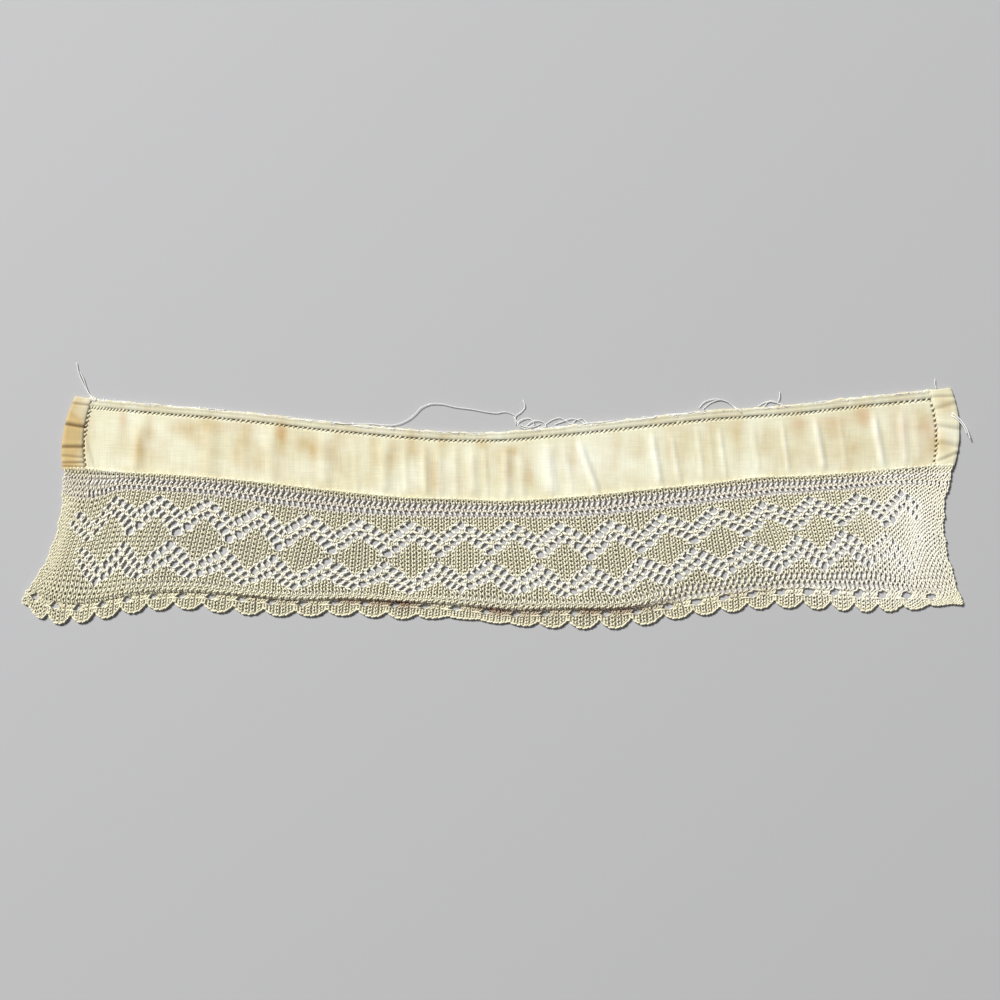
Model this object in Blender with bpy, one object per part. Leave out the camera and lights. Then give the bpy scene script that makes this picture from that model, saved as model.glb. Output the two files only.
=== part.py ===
"""Knitted cotton lace edging sewn to a narrow band of hem-stitched cloth, lying flat on its back.

Two sheets are modelled: the cloth band with its turned hems, and the lace with its main eyelets cut
through. Both follow one table of sections, because every knitted row of the lace runs on into a
crosswise thread of the band. A row is counted in pairs of knitted rows, from the first zigzag peak at
the left, and a place along a row is counted in stitches from the join down to the scalloped edge.

Units are metres, +X runs along the trim, +Y from the scallops to the hem, +Z up. The origin is the
middle of the bounding box on the surface that the trim lies on.
"""

import math
from typing import NamedTuple

import bmesh
import bpy
import numpy as np

MM = 0.001

# Sheet thicknesses
BAND_THICK = 1.0 * MM
HEM_THICK = 1.5 * MM
LACE_THICK = 1.3 * MM
SCALLOP_THICK = 1.1 * MM
SEAM_GAP = 0.3 * MM

# Middle of the trim's outline, in the section table's own coordinates
MIDDLE_X = 0.24 * MM
MIDDLE_Y = 0.35 * MM

# Stitches along a knitted row, from the join with the band down to the scalloped edge
JOIN_STITCH = 0.0
PEAK_STITCH = 7.0
MIDDLE_STITCH = 15.5
VALLEY_STITCH = 24.0
SLOT_STITCH = 29.0
EDGE_STITCH = 33.0
RIDGE_STITCH = 26.3
RIDGE_HALF = 1.8

# Row pairs: the zigzag repeats every 9 and the scallops every 5
FIRST_ROW = -15.0
LAST_ROW = 155.0
ZIGZAG_ROWS = 9.0
SCALLOP_ROWS = 5.0
FIRST_SLOT_ROW = -12.6
SLOT_COUNT = 33
SLOT_TO_TIP_ROWS = 1.5
EDGE_LEAN = 0.4
LOBE_POWER = 2.4
ROW_WIDTH = 2.33 * MM
FIRST_EYELET_ROW = -8.8
FIRST_LOWER_ROW = -4.8
LAST_EYELET_ROW = 148.6
DRAWN_IN_ROW = 0.0
DRAWN_IN_SCALE = 0.72

# Rolled ridge along the lower border, at the left two thirds of the trim
RIDGE_HEIGHT = 1.3 * MM
RIDGE_FULL_ROW = 92.0
RIDGE_END_ROW = 104.0

# Hems of the band, as shares of its height and as row pairs
TOP_HEM_SHARE = 0.88
LEFT_HEM_ROW = -9.0
RIGHT_HEM_ROW = 150.0
HEM_STEP_SHARE = 0.02
HEM_STEP_ROWS = 0.1
BAND_STEPS = 80

# The cutters reach past both faces of the lace
CUT_LOW = -2.0 * MM
CUT_HIGH = 6.0 * MM


class Section(NamedTuple):
    """One knitted row and the band above it, in millimetres, from the hem down to the scallops."""

    row: float
    head_x: float
    head_y: float
    bow: float
    join_x: float
    join_y: float
    peak_x: float
    peak_y: float
    valley_x: float
    valley_y: float
    slot_x: float
    slot_y: float
    drop: float
    lobe: float


SECTIONS = [
    Section(-15, -174.3, 47.3, -2.3, -179.8, 16.6, -180.2, 2.3, -189.8, -27.1, -195.0, -34.5, 4.8, 0.4),
    Section(-9, -167.2, 46.2, -2.2, -170.1, 16.2, -174.7, -0.6, -183.4, -29.0, -186.1, -39.3, 8.0, 3.0),
    Section(-4.5, -160.9, 45.6, -1.2, -163.4, 15.5, -166.7, -0.4, -175.6, -29.4, -177.7, -41.2, 6.9, 2.9),
    Section(0, -154.1, 44.9, -0.4, -155.8, 14.9, -158.1, 3.6, -166.5, -30.3, -168.8, -40.7, 6.5, 2.8),
    Section(9, -135.7, 43.1, 0.0, -136.9, 13.9, -139.4, 3.8, -149.1, -28.1, -149.9, -37.2, 6.3, 2.5),
    Section(18, -116.8, 41.6, 0.0, -117.6, 12.6, -119.6, 2.4, -126.8, -28.1, -129.1, -36.1, 5.8, 2.4),
    Section(27, -95.8, 39.5, 0.0, -96.2, 10.5, -98.2, -0.9, -104.6, -30.9, -106.4, -37.4, 6.6, 2.4),
    Section(36, -75.2, 37.0, 0.0, -75.2, 8.0, -77.3, -4.0, -83.2, -32.6, -83.6, -39.3, 5.6, 1.8),
    Section(45, -55.0, 35.1, 0.0, -55.0, 5.9, -55.9, -5.8, -58.4, -32.6, -59.6, -39.1, 5.6, 2.0),
    Section(54, -34.4, 33.2, 0.0, -34.4, 4.2, -34.4, -6.9, -34.9, -34.5, -37.0, -40.1, 5.9, 1.8),
    Section(63, -13.0, 31.9, 0.0, -13.0, 3.6, -12.9, -7.1, -13.1, -33.6, -14.0, -41.5, 4.4, 0.5),
    Section(72, 6.7, 32.3, 0.0, 6.7, 2.9, 7.4, -6.9, 9.7, -34.9, 8.7, -43.8, 4.8, 0.9),
    Section(81, 26.9, 34.2, 0.0, 26.9, 4.0, 28.1, -7.4, 30.8, -36.1, 30.7, -43.3, 6.6, 2.4),
    Section(90, 47.0, 36.3, 0.0, 47.5, 5.7, 49.3, -6.5, 53.1, -35.4, 54.2, -43.2, 6.6, 2.8),
    Section(99, 68.5, 38.6, 0.0, 69.3, 8.0, 70.9, -3.9, 75.0, -30.7, 77.5, -40.4, 5.4, 2.0),
    Section(108, 89.9, 41.0, 0.0, 91.1, 10.1, 92.8, -0.9, 97.3, -27.6, 98.6, -37.2, 6.0, 2.2),
    Section(117, 109.2, 42.2, 0.0, 110.9, 12.6, 113.3, 1.5, 120.1, -24.9, 119.9, -35.2, 6.2, 2.5),
    Section(126, 128.9, 43.7, 0.0, 131.0, 13.4, 133.3, 3.6, 139.2, -24.0, 140.6, -35.1, 7.0, 2.7),
    Section(135, 148.7, 46.1, 0.0, 151.2, 14.7, 152.9, 4.8, 157.9, -23.1, 158.6, -36.2, 6.8, 2.6),
    Section(144, 167.6, 48.1, 0.4, 170.1, 16.4, 171.5, 6.1, 175.1, -26.3, 177.1, -36.6, 5.4, 1.5),
    Section(150, 182.7, 49.8, 2.5, 185.6, 17.6, 182.3, 5.7, 184.0, -25.0, 189.0, -37.2, 2.9, 0.3),
    Section(155, 191.9, 50.8, 2.9, 193.6, 17.9, 190.3, 4.0, 192.8, -25.4, 196.2, -35.9, 4.2, 0.0),
]


class Eyelet(NamedTuple):
    """One eyelet of the zigzag repeat, placed in row pairs after a peak and in stitches below the join.

    turn is in degrees: -33 where the line of eyelets falls to the right, 33 where it rises and 45 at a
    peak or a valley. along and across are the sides of its opening, in millimetres.
    """

    phase: float
    stitch: float
    turn: float
    along: float
    across: float


EYELETS = [
    Eyelet(0.0, 7.0, 45, 2.3, 2.3),
    Eyelet(1.6, 8.0, -33, 2.2, 2.6),
    Eyelet(6.2, 10.0, 33, 2.0, 2.3),
    Eyelet(7.1, 9.0, 33, 2.0, 2.6),
    Eyelet(8.0, 8.0, 33, 2.0, 2.6),
    Eyelet(2.8, 11.8, -33, 2.1, 2.4),
    Eyelet(3.8, 12.7, -33, 2.1, 2.6),
    Eyelet(4.9, 14.4, 45, 2.5, 2.5),
    Eyelet(6.5, 13.2, 33, 2.2, 2.5),
    Eyelet(2.4, 19.7, 33, 1.9, 2.2),
    Eyelet(3.4, 18.7, 33, 1.9, 2.2),
    Eyelet(4.5, 17.4, 45, 2.1, 2.1),
    Eyelet(6.2, 18.5, -33, 2.2, 2.2),
    Eyelet(0.0, 24.0, 45, 2.0, 2.0),
    Eyelet(1.7, 23.0, 33, 2.0, 2.0),
]

# The slot in each scallop leans up to the right
SLOT_LENGTH = 3.6 * MM
SLOT_HEIGHT = 1.7 * MM
SLOT_ANGLE = math.radians(18.0)


class Pucker(NamedTuple):
    """A soft fold across the band, in millimetres: where it meets the join and the hem, and its size."""

    foot_x: float
    head_x: float
    half_width: float
    height: float


PUCKERS = [
    Pucker(-150, -146, 5.0, 0.5),
    Pucker(-118, -119, 6.0, 0.6),
    Pucker(-92, -94, 5.0, 0.5),
    Pucker(-70, -72, 5.0, 0.6),
    Pucker(-45, -46, 4.5, 0.7),
    Pucker(-24, -25, 4.0, 0.9),
    Pucker(-8, -9, 3.6, 0.7),
    Pucker(6, 5, 3.6, 0.8),
    Pucker(24, 20, 4.5, 0.6),
    Pucker(45, 34, 4.5, 1.0),
    Pucker(70, 64, 4.0, 1.1),
    Pucker(84, 78, 4.0, 0.8),
    Pucker(98, 93, 4.0, 0.9),
    Pucker(122, 116, 4.5, 0.8),
    Pucker(142, 132, 4.5, 1.0),
    Pucker(164, 158, 4.2, 1.0),
    Pucker(176, 170, 3.6, 0.7),
]
# Cross creases in the left hem, as shares of the band's height
HEM_CREASES = [0.30, 0.58]
HEM_CREASE_DEPTH = 0.25 * MM


def hermite(value, knots, heights):
    """Smooth curve through the knots, with slopes taken from each knot's neighbours."""
    knots = np.asarray(knots, dtype=float)
    heights = np.asarray(heights, dtype=float)
    slopes = np.gradient(heights, knots)
    last = len(knots) - 2
    i = int(min(max(np.searchsorted(knots, value) - 1, 0), last))
    span = knots[i + 1] - knots[i]
    t = (value - knots[i]) / span
    rise = t * t * (3.0 - 2.0 * t)
    start = t * (1.0 - t) * (1.0 - t) * span * slopes[i]
    stop = t * t * (t - 1.0) * span * slopes[i + 1]
    return float(heights[i] + rise * (heights[i + 1] - heights[i]) + start + stop)


def smooth_step(value, low, high):
    t = min(max((value - low) / (high - low), 0.0), 1.0)
    return t * t * (3.0 - 2.0 * t)


def section_at(row):
    """The table's columns at any row, turned into metres."""
    rows = [s.row for s in SECTIONS]
    columns = [hermite(row, rows, [s[k] for s in SECTIONS]) * MM for k in range(1, 14)]
    return Section(row, *columns)


def lace_point(row, stitch):
    """X and Y of a stitch, on a smooth path through the five marked places of its row."""
    s = section_at(row)
    places = [JOIN_STITCH, PEAK_STITCH, VALLEY_STITCH, SLOT_STITCH, EDGE_STITCH]
    edge_x = s.slot_x + (s.slot_x - s.valley_x) * EDGE_LEAN
    edge_y = s.slot_y - s.drop
    x = hermite(stitch, places, [s.join_x, s.peak_x, s.valley_x, s.slot_x, edge_x])
    y = hermite(stitch, places, [s.join_y, s.peak_y, s.valley_y, s.slot_y, edge_y])
    return x - MIDDLE_X, y - MIDDLE_Y


def lace_top(row, stitch):
    """Height of the lace's upper face, with the rolled ridge and the thinner scallops."""
    ridge = 1.0 - smooth_step(row, RIDGE_FULL_ROW, RIDGE_END_ROW)
    across = max(0.0, 1.0 - abs(stitch - RIDGE_STITCH) / RIDGE_HALF)
    bulge = RIDGE_HEIGHT * ridge * math.sin(0.5 * math.pi * across)
    thin = (LACE_THICK - SCALLOP_THICK) * smooth_step(stitch, RIDGE_STITCH, SLOT_STITCH)
    return LACE_THICK - thin + bulge


def pucker_height(x, share):
    """Height of the soft folds over a point of the band, fading out at the join and the top hem."""
    fade = smooth_step(share, 0.0, 0.30) * (1.0 - smooth_step(share, 0.62, TOP_HEM_SHARE))
    total = 0.0
    for fold in PUCKERS:
        middle = (fold.foot_x + (fold.head_x - fold.foot_x) * share) * MM
        distance = (x - middle) / (fold.half_width * MM)
        if abs(distance) < 1.0:
            total += fold.height * MM * 0.5 * (1.0 + math.cos(math.pi * distance))
    return total * fade


def band_point(row, share):
    """X and Y on the band, from the seam at share 0 to the hem's edge at share 1."""
    s = section_at(row)
    low_y = s.join_y + SEAM_GAP
    x = s.join_x + (s.head_x - s.join_x) * share + s.bow * 4.0 * share * (1.0 - share)
    y = low_y + (s.head_y - low_y) * share
    return x - MIDDLE_X, y - MIDDLE_Y


def band_thickness(row, share):
    """Turned hems are two layers thick, and two sharp creases cross the left one."""
    side = row <= LEFT_HEM_ROW or row >= RIGHT_HEM_ROW
    if share >= TOP_HEM_SHARE:
        return HEM_THICK
    if not side:
        return BAND_THICK
    dents = [HEM_CREASE_DEPTH for crease in HEM_CREASES if abs(share - crease) < 1e-6]
    left = row <= LEFT_HEM_ROW
    return HEM_THICK - (sum(dents) if left else 0.0)


def make_material(name, colour, roughness):
    material = bpy.data.materials.new(name)
    material.use_nodes = True
    shader = material.node_tree.nodes["Principled BSDF"]
    shader.inputs["Base Color"].default_value = (*colour, 1.0)
    shader.inputs["Roughness"].default_value = roughness
    shader.inputs["Metallic"].default_value = 0.0
    return material


def link_object(name, bm, material):
    """Finishes a bmesh as a named object in the scene."""
    bmesh.ops.recalc_face_normals(bm, faces=bm.faces)
    mesh = bpy.data.meshes.new(name)
    bm.to_mesh(mesh)
    bm.free()
    obj = bpy.data.objects.new(name, mesh)
    bpy.context.scene.collection.objects.link(obj)
    if material is not None:
        mesh.materials.append(material)
    return obj


def add_grid(bm, points):
    """Quads over a grid of points; returns the grid of its vertices."""
    verts = [[bm.verts.new(p) for p in line] for line in points]
    for a, b in zip(verts, verts[1:]):
        for i in range(len(a) - 1):
            bm.faces.new((a[i], b[i], b[i + 1], a[i + 1]))
    return verts


def close_rim(bm, low_loop, high_loop):
    """Side walls between the outline of the lower face and that of the upper one."""
    count = len(low_loop)
    for i in range(count):
        j = (i + 1) % count
        bm.faces.new((low_loop[i], low_loop[j], high_loop[j], high_loop[i]))


def grid_outline(verts):
    """The border of a grid of vertices, once round."""
    first, last = verts[0], verts[-1]
    bottom = [line[0] for line in verts[1:-1]]
    top = [line[-1] for line in verts[1:-1]]
    return first[::-1] + bottom + last + top[::-1]


def band_rows():
    """Rows of the band's grid: even steps between the hems, with a narrow step at each hem line."""
    left = [FIRST_ROW, -12.0, LEFT_HEM_ROW]
    right = [RIGHT_HEM_ROW, 152.5, LAST_ROW]
    first = LEFT_HEM_ROW + HEM_STEP_ROWS
    last = RIGHT_HEM_ROW - HEM_STEP_ROWS
    middle = [first + (last - first) * i / BAND_STEPS for i in range(BAND_STEPS + 1)]
    return left + middle + right


def build_band():
    """The cloth band: one sheet with its folds, thicker where its hems are turned."""
    hem_foot = TOP_HEM_SHARE - HEM_STEP_SHARE
    shares = sorted([0.0, 0.15, 0.44, 0.72, hem_foot, TOP_HEM_SHARE, 1.0] + HEM_CREASES)
    low, high = [], []
    for row in band_rows():
        low_line, high_line = [], []
        for share in shares:
            x, y = band_point(row, share)
            z = pucker_height(x, share)
            low_line.append((x, y, z))
            high_line.append((x, y, z + band_thickness(row, share)))
        low.append(low_line)
        high.append(high_line)
    bm = bmesh.new()
    low_verts = add_grid(bm, low)
    high_verts = add_grid(bm, high)
    close_rim(bm, grid_outline(low_verts), grid_outline(high_verts))
    cloth = make_material("cotton_cloth", (0.83, 0.76, 0.56), 0.9)
    return link_object("band", bm, cloth)


def scallop_edge(notch_row):
    """Points round one scallop, from its left notch to its right one."""
    points = []
    for t in (-1.0, -0.82, -0.45, 0.0, 0.45, 0.82, 1.0):
        row = min(max(notch_row + SCALLOP_ROWS * 0.5 * (t + 1.0), FIRST_ROW), LAST_ROW)
        x, y = lace_point(row, EDGE_STITCH)
        points.append((x, y + section_at(row).lobe * abs(t) ** LOBE_POWER))
    return points


def build_lace_sheet():
    """The lace before its eyelets are cut: a grid down to the slots, then one fan for each scallop."""
    first_notch = FIRST_SLOT_ROW + SLOT_TO_TIP_ROWS - 0.5 * SCALLOP_ROWS
    rows = [FIRST_ROW] + [first_notch + SCALLOP_ROWS * i for i in range(SLOT_COUNT + 1)] + [LAST_ROW]
    ridge_foot = RIDGE_STITCH - RIDGE_HALF
    ridge_end = RIDGE_STITCH + RIDGE_HALF
    stitches = [JOIN_STITCH, PEAK_STITCH, MIDDLE_STITCH, ridge_foot, RIDGE_STITCH, ridge_end, SLOT_STITCH]
    bm = bmesh.new()
    outlines = []
    for is_top in (False, True):
        grid = []
        for row in rows:
            line = []
            for stitch in stitches:
                x, y = lace_point(row, stitch)
                line.append((x, y, lace_top(row, stitch) if is_top else 0.0))
            grid.append(line[::-1])
        verts = add_grid(bm, grid)
        z = SCALLOP_THICK if is_top else 0.0
        edge = add_scallops(bm, verts, first_notch, z)
        upper = [line[-1] for line in verts]
        outlines.append(verts[0][::-1] + edge + verts[-1] + upper[-2:0:-1])
    close_rim(bm, outlines[0], outlines[1])
    thread = make_material("cotton_lace", (0.79, 0.72, 0.52), 0.88)
    return link_object("lace", bm, thread)


def add_scallops(bm, verts, first_notch, z):
    """A flat face for each scallop below the slot line; returns the vertices of the whole edge."""
    x, y = lace_point(FIRST_ROW, EDGE_STITCH)
    corner = bm.verts.new((x, y, z))
    edge = [corner]
    x, y = scallop_edge(first_notch)[0]
    notch = bm.verts.new((x, y, z))
    bm.faces.new((verts[0][0], verts[1][0], notch, corner))
    edge.append(notch)
    for k in range(SLOT_COUNT):
        points = scallop_edge(first_notch + SCALLOP_ROWS * k)[1:]
        lobe = [bm.verts.new((px, py, z)) for px, py in points]
        base = [verts[1 + k][0], verts[2 + k][0]]
        bm.faces.new(base + lobe[::-1] + [edge[-1]])
        edge += lobe
    x, y = lace_point(LAST_ROW, EDGE_STITCH)
    corner = bm.verts.new((x, y, z))
    bm.faces.new((verts[-2][0], verts[-1][0], corner, edge[-1]))
    return edge + [corner]


def add_prism(bm, centre, length, height, angle):
    """A four-sided upright prism, turned in the plane of the lace."""
    c, s = math.cos(angle), math.sin(angle)
    rings = []
    for z in (CUT_LOW, CUT_HIGH):
        ring = []
        for i, j in ((-0.5, -0.5), (0.5, -0.5), (0.5, 0.5), (-0.5, 0.5)):
            dx, dy = i * length, j * height
            ring.append(bm.verts.new((centre[0] + c * dx - s * dy, centre[1] + s * dx + c * dy, z)))
        rings.append(ring)
    bm.faces.new(rings[0][::-1])
    bm.faces.new(rings[1])
    for i in range(4):
        j = (i + 1) % 4
        bm.faces.new((rings[0][i], rings[0][j], rings[1][j], rings[1][i]))


def row_slope(row, stitch):
    """Turn of the lace at a place, from the line that joins the same stitch of two rows."""
    x0, y0 = lace_point(row - 1.0, stitch)
    x1, y1 = lace_point(row + 1.0, stitch)
    return math.atan2(y1 - y0, x1 - x0), math.hypot(x1 - x0, y1 - y0) / 2.0


def build_cutters():
    """All eyelets and slots as one mesh of separate prisms."""
    bm = bmesh.new()
    first = int(math.floor(FIRST_EYELET_ROW / ZIGZAG_ROWS))
    last = int(math.ceil(LAST_EYELET_ROW / ZIGZAG_ROWS))
    for repeat in range(first, last + 1):
        for eyelet in EYELETS:
            row = repeat * ZIGZAG_ROWS + eyelet.phase
            first_row = FIRST_EYELET_ROW if eyelet.stitch < MIDDLE_STITCH else FIRST_LOWER_ROW
            if not first_row <= row <= LAST_EYELET_ROW:
                continue
            turn, width = row_slope(row, eyelet.stitch)
            drawn_in = DRAWN_IN_SCALE if row < DRAWN_IN_ROW else 1.0
            scale = min(1.05, width / ROW_WIDTH) * drawn_in * MM
            angle = turn + math.radians(eyelet.turn)
            place = lace_point(row, eyelet.stitch)
            add_prism(bm, place, eyelet.along * scale, eyelet.across * scale, angle)
    for k in range(SLOT_COUNT):
        row = FIRST_SLOT_ROW + SCALLOP_ROWS * k
        turn, width = row_slope(row, SLOT_STITCH)
        add_prism(bm, lace_point(row, SLOT_STITCH), SLOT_LENGTH, SLOT_HEIGHT, turn + SLOT_ANGLE)
    cutters = link_object("eyelet_cutters", bm, None)
    cutters.hide_render = True
    cutters.display_type = "WIRE"
    return cutters


def cut_lace(lace, cutters):
    cut = lace.modifiers.new("eyelets", "BOOLEAN")
    cut.operation = "DIFFERENCE"
    cut.solver = "EXACT"
    cut.object = cutters


def main():
    for obj in list(bpy.data.objects):
        bpy.data.objects.remove(obj, do_unlink=True)
    build_band()
    lace = build_lace_sheet()
    cut_lace(lace, build_cutters())


main()
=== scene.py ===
"""Knitted cotton lace trim with its hem-stitched cloth band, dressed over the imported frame.

The lace is knitted here row by row: each row is a strand of cotton that loops into its neighbours, and
the eyelets, ladders and scallop slots push the strands apart as yarn-overs do. The band is a thin cloth
with turned hems, open hem-stitching, soft puckers, a frayed heading and the ends of its old sewing
thread. Places on the lace are counted in row pairs from the first zigzag peak at the left, and in
stitches from the join down to the scalloped edge.
"""
import math
from typing import NamedTuple

import bmesh
import bpy
import numpy as np
from bpy.props import FloatProperty, FloatVectorProperty, IntProperty, PointerProperty
from bpy.types import Operator, Panel, PropertyGroup
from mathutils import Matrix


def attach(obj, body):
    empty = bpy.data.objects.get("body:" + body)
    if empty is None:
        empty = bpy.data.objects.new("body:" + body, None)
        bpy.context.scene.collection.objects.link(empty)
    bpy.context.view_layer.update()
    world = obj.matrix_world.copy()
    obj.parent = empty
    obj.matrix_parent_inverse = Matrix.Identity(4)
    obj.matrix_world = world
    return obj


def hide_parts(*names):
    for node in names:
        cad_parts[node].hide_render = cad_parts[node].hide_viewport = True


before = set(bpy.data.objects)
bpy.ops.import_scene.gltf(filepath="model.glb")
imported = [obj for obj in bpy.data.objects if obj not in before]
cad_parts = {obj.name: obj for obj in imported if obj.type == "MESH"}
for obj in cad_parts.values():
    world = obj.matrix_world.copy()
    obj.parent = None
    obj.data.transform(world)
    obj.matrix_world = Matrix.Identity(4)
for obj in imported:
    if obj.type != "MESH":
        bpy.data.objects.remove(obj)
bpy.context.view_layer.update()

bl_info = {
    "name": "Knitted lace trim",
    "version": (1, 0, 0),
    "blender": (4, 5, 0),
    "location": "3D View > Sidebar > Lace trim",
    "description": "Knits a lace edging and makes the hem-stitched cloth band above it",
    "category": "Add Mesh",
}

MM = 0.001

# Middle of the trim's outline in the section table's own coordinates
MIDDLE_X = 0.24 * MM
MIDDLE_Y = 0.35 * MM
SEAM_GAP = 0.3 * MM

# Places along a knitted row, in stitches, and the first and last row, in row pairs of ROW_WIDTH
ROW_WIDTH = 2.33 * MM
JOIN_STITCH = 0.0
PEAK_STITCH = 7.0
MIDDLE_STITCH = 15.5
VALLEY_STITCH = 24.0
SLOT_STITCH = 29.0
EDGE_STITCH = 33.0
FIRST_ROW = -15.0
LAST_ROW = 155.0
ZIGZAG_ROWS = 9.0
SCALLOP_ROWS = 5.0
FIRST_SLOT_ROW = -12.6
SLOT_COUNT = 33
FIRST_NOTCH_ROW = -13.6
EDGE_LEAN = 0.4
LOBE_POWER = 2.4
NOTCH_DEPTH = 1.45

# Rolled ridge of the lower border
RIDGE_START = 24.6
RIDGE_CREST = 26.9
RIDGE_BROW = 27.1
RIDGE_FOOT = 28.6
RIDGE_LEAN = 0.45
ROLL_MIDDLE = 26.4
RIDGE_FULL_ROW = 92.0
RIDGE_END_ROW = 104.0
# At the left the ridge starts low and grows between these rows
RIDGE_LOW_SHARE = 0.45
RIDGE_GROWS = (-4.0, 24.0)

# The knit is drawn in, flat and even between these rows at the left and at the right
LEFT_FLAT_ROWS = (-13.0, -3.0)
RIGHT_FLAT_ROWS = (130.0, 143.0)

# Unevenness of hand knitting: where a pair of rows has its loops, where rows and points lie, and loop size
LOOP_OFFSET = 0.16
ROW_UNEVEN = 0.022
POINT_UNEVEN = 0.016
LOOP_UNEVEN = 0.16

# How far a hole's pull stills the loops beside it: their reach, their swing, their depth and their shade
TAUT_REACH = 0.72
TAUT_SWING = 0.4
TAUT_DEPTH = 0.35
TAUT_SHADE = 0.6

# How the yarn lies: the share of a loop that is flat, how much more in the ends, and small heights; the
# flat right end has less shade between its stitches
FLAT_SHARE = 0.15
FLATTER_ENDS = 0.65
FLAT_END_SHADE = 0.45
SHADE_POWER = 1.6
END_CURL = 0.30 * MM
SLOW_WAVE = 0.06 * MM
OVER_CLOTH = 0.30 * MM

# How the cloth lies: its height, how far it goes under the lace, and the small gathers along the join
CLOTH_LIE = 0.52 * MM
CLOTH_TUCK = -0.022
GATHER_HEIGHT = 0.10 * MM
GATHER_LENGTH = 0.62 * MM
UNDER_LAYER = 0.30 * MM

# Hems of the band, as shares of its height and as row pairs
HEM_LINE_LOW = 0.866
HEM_LINE_HIGH = 0.8835
HEADING_EDGE = 0.986
LEFT_HEM_ROW = -9.0
RIGHT_HEM_ROW = 150.0
SIDE_LINE_ROWS = 0.27
CLOTH_ROW_WIDTH = 2.3 * MM


class Section(NamedTuple):
    """One knitted row and the band above it, in millimetres, from the hem down to the scallops."""

    row: float
    head_x: float
    head_y: float
    bow: float
    join_x: float
    join_y: float
    peak_x: float
    peak_y: float
    valley_x: float
    valley_y: float
    slot_x: float
    slot_y: float
    drop: float
    lobe: float


SECTIONS = [
    Section(-15, -174.3, 47.3, -2.3, -179.8, 16.6, -180.2, 2.3, -189.8, -27.1, -195.0, -34.5, 4.8, 0.4),
    Section(-9, -167.2, 46.2, -2.2, -170.1, 16.2, -174.7, -0.6, -183.4, -29.0, -186.1, -39.3, 8.0, 3.0),
    Section(-4.5, -160.9, 45.6, -1.2, -163.4, 15.5, -166.7, -0.4, -175.6, -29.4, -177.7, -41.2, 6.9, 2.9),
    Section(0, -154.1, 44.9, -0.4, -155.8, 14.9, -158.1, 3.6, -166.5, -30.3, -168.8, -40.7, 6.5, 2.8),
    Section(9, -135.7, 43.1, 0.0, -136.9, 13.9, -139.4, 3.8, -149.1, -28.1, -149.9, -37.2, 6.3, 2.5),
    Section(18, -116.8, 41.6, 0.0, -117.6, 12.6, -119.6, 2.4, -126.8, -28.1, -129.1, -36.1, 5.8, 2.4),
    Section(27, -95.8, 39.5, 0.0, -96.2, 10.5, -98.2, -0.9, -104.6, -30.9, -106.4, -37.4, 6.6, 2.4),
    Section(36, -75.2, 37.0, 0.0, -75.2, 8.0, -77.3, -4.0, -83.2, -32.6, -83.6, -39.3, 5.6, 1.8),
    Section(45, -55.0, 35.1, 0.0, -55.0, 5.9, -55.9, -5.8, -58.4, -32.6, -59.6, -39.1, 5.6, 2.0),
    Section(54, -34.4, 33.2, 0.0, -34.4, 4.2, -34.4, -6.9, -34.9, -34.5, -37.0, -40.1, 5.9, 1.8),
    Section(63, -13.0, 31.9, 0.0, -13.0, 3.6, -12.9, -7.1, -13.1, -33.6, -14.0, -41.5, 4.4, 0.5),
    Section(72, 6.7, 32.3, 0.0, 6.7, 2.9, 7.4, -6.9, 9.7, -34.9, 8.7, -43.8, 4.8, 0.9),
    Section(81, 26.9, 34.2, 0.0, 26.9, 4.0, 28.1, -7.4, 30.8, -36.1, 30.7, -43.3, 6.6, 2.4),
    Section(90, 47.0, 36.3, 0.0, 47.5, 5.7, 49.3, -6.5, 53.1, -35.4, 54.2, -43.2, 6.6, 2.8),
    Section(99, 68.5, 38.6, 0.0, 69.3, 8.0, 70.9, -3.9, 75.0, -30.7, 77.5, -40.4, 5.4, 2.0),
    Section(108, 89.9, 41.0, 0.0, 91.1, 10.1, 92.8, -0.9, 97.3, -27.6, 98.6, -37.2, 6.0, 2.2),
    Section(117, 109.2, 42.2, 0.0, 110.9, 12.6, 113.3, 1.5, 120.1, -24.9, 119.9, -35.2, 6.2, 2.5),
    Section(126, 128.9, 43.7, 0.0, 131.0, 13.4, 133.3, 3.6, 139.2, -24.0, 140.6, -35.1, 7.0, 2.7),
    Section(135, 148.7, 46.1, 0.0, 151.2, 14.7, 152.9, 4.8, 157.9, -23.1, 158.6, -36.2, 6.8, 2.6),
    Section(144, 167.6, 48.1, 0.4, 170.1, 16.4, 171.5, 6.1, 175.1, -26.3, 177.1, -36.6, 5.4, 1.5),
    Section(150, 182.7, 49.8, 2.5, 185.6, 17.6, 182.3, 5.7, 184.0, -25.0, 189.0, -37.2, 2.9, 0.3),
    Section(155, 191.9, 50.8, 2.9, 193.6, 17.9, 190.3, 4.0, 192.8, -25.4, 196.2, -35.9, 4.2, 0.0),
]


class Eyelet(NamedTuple):
    """One eyelet of the zigzag repeat: row pairs after a peak, stitches below the join, size and lean."""

    phase: float
    stitch: float
    size: float
    lean: float


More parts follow.
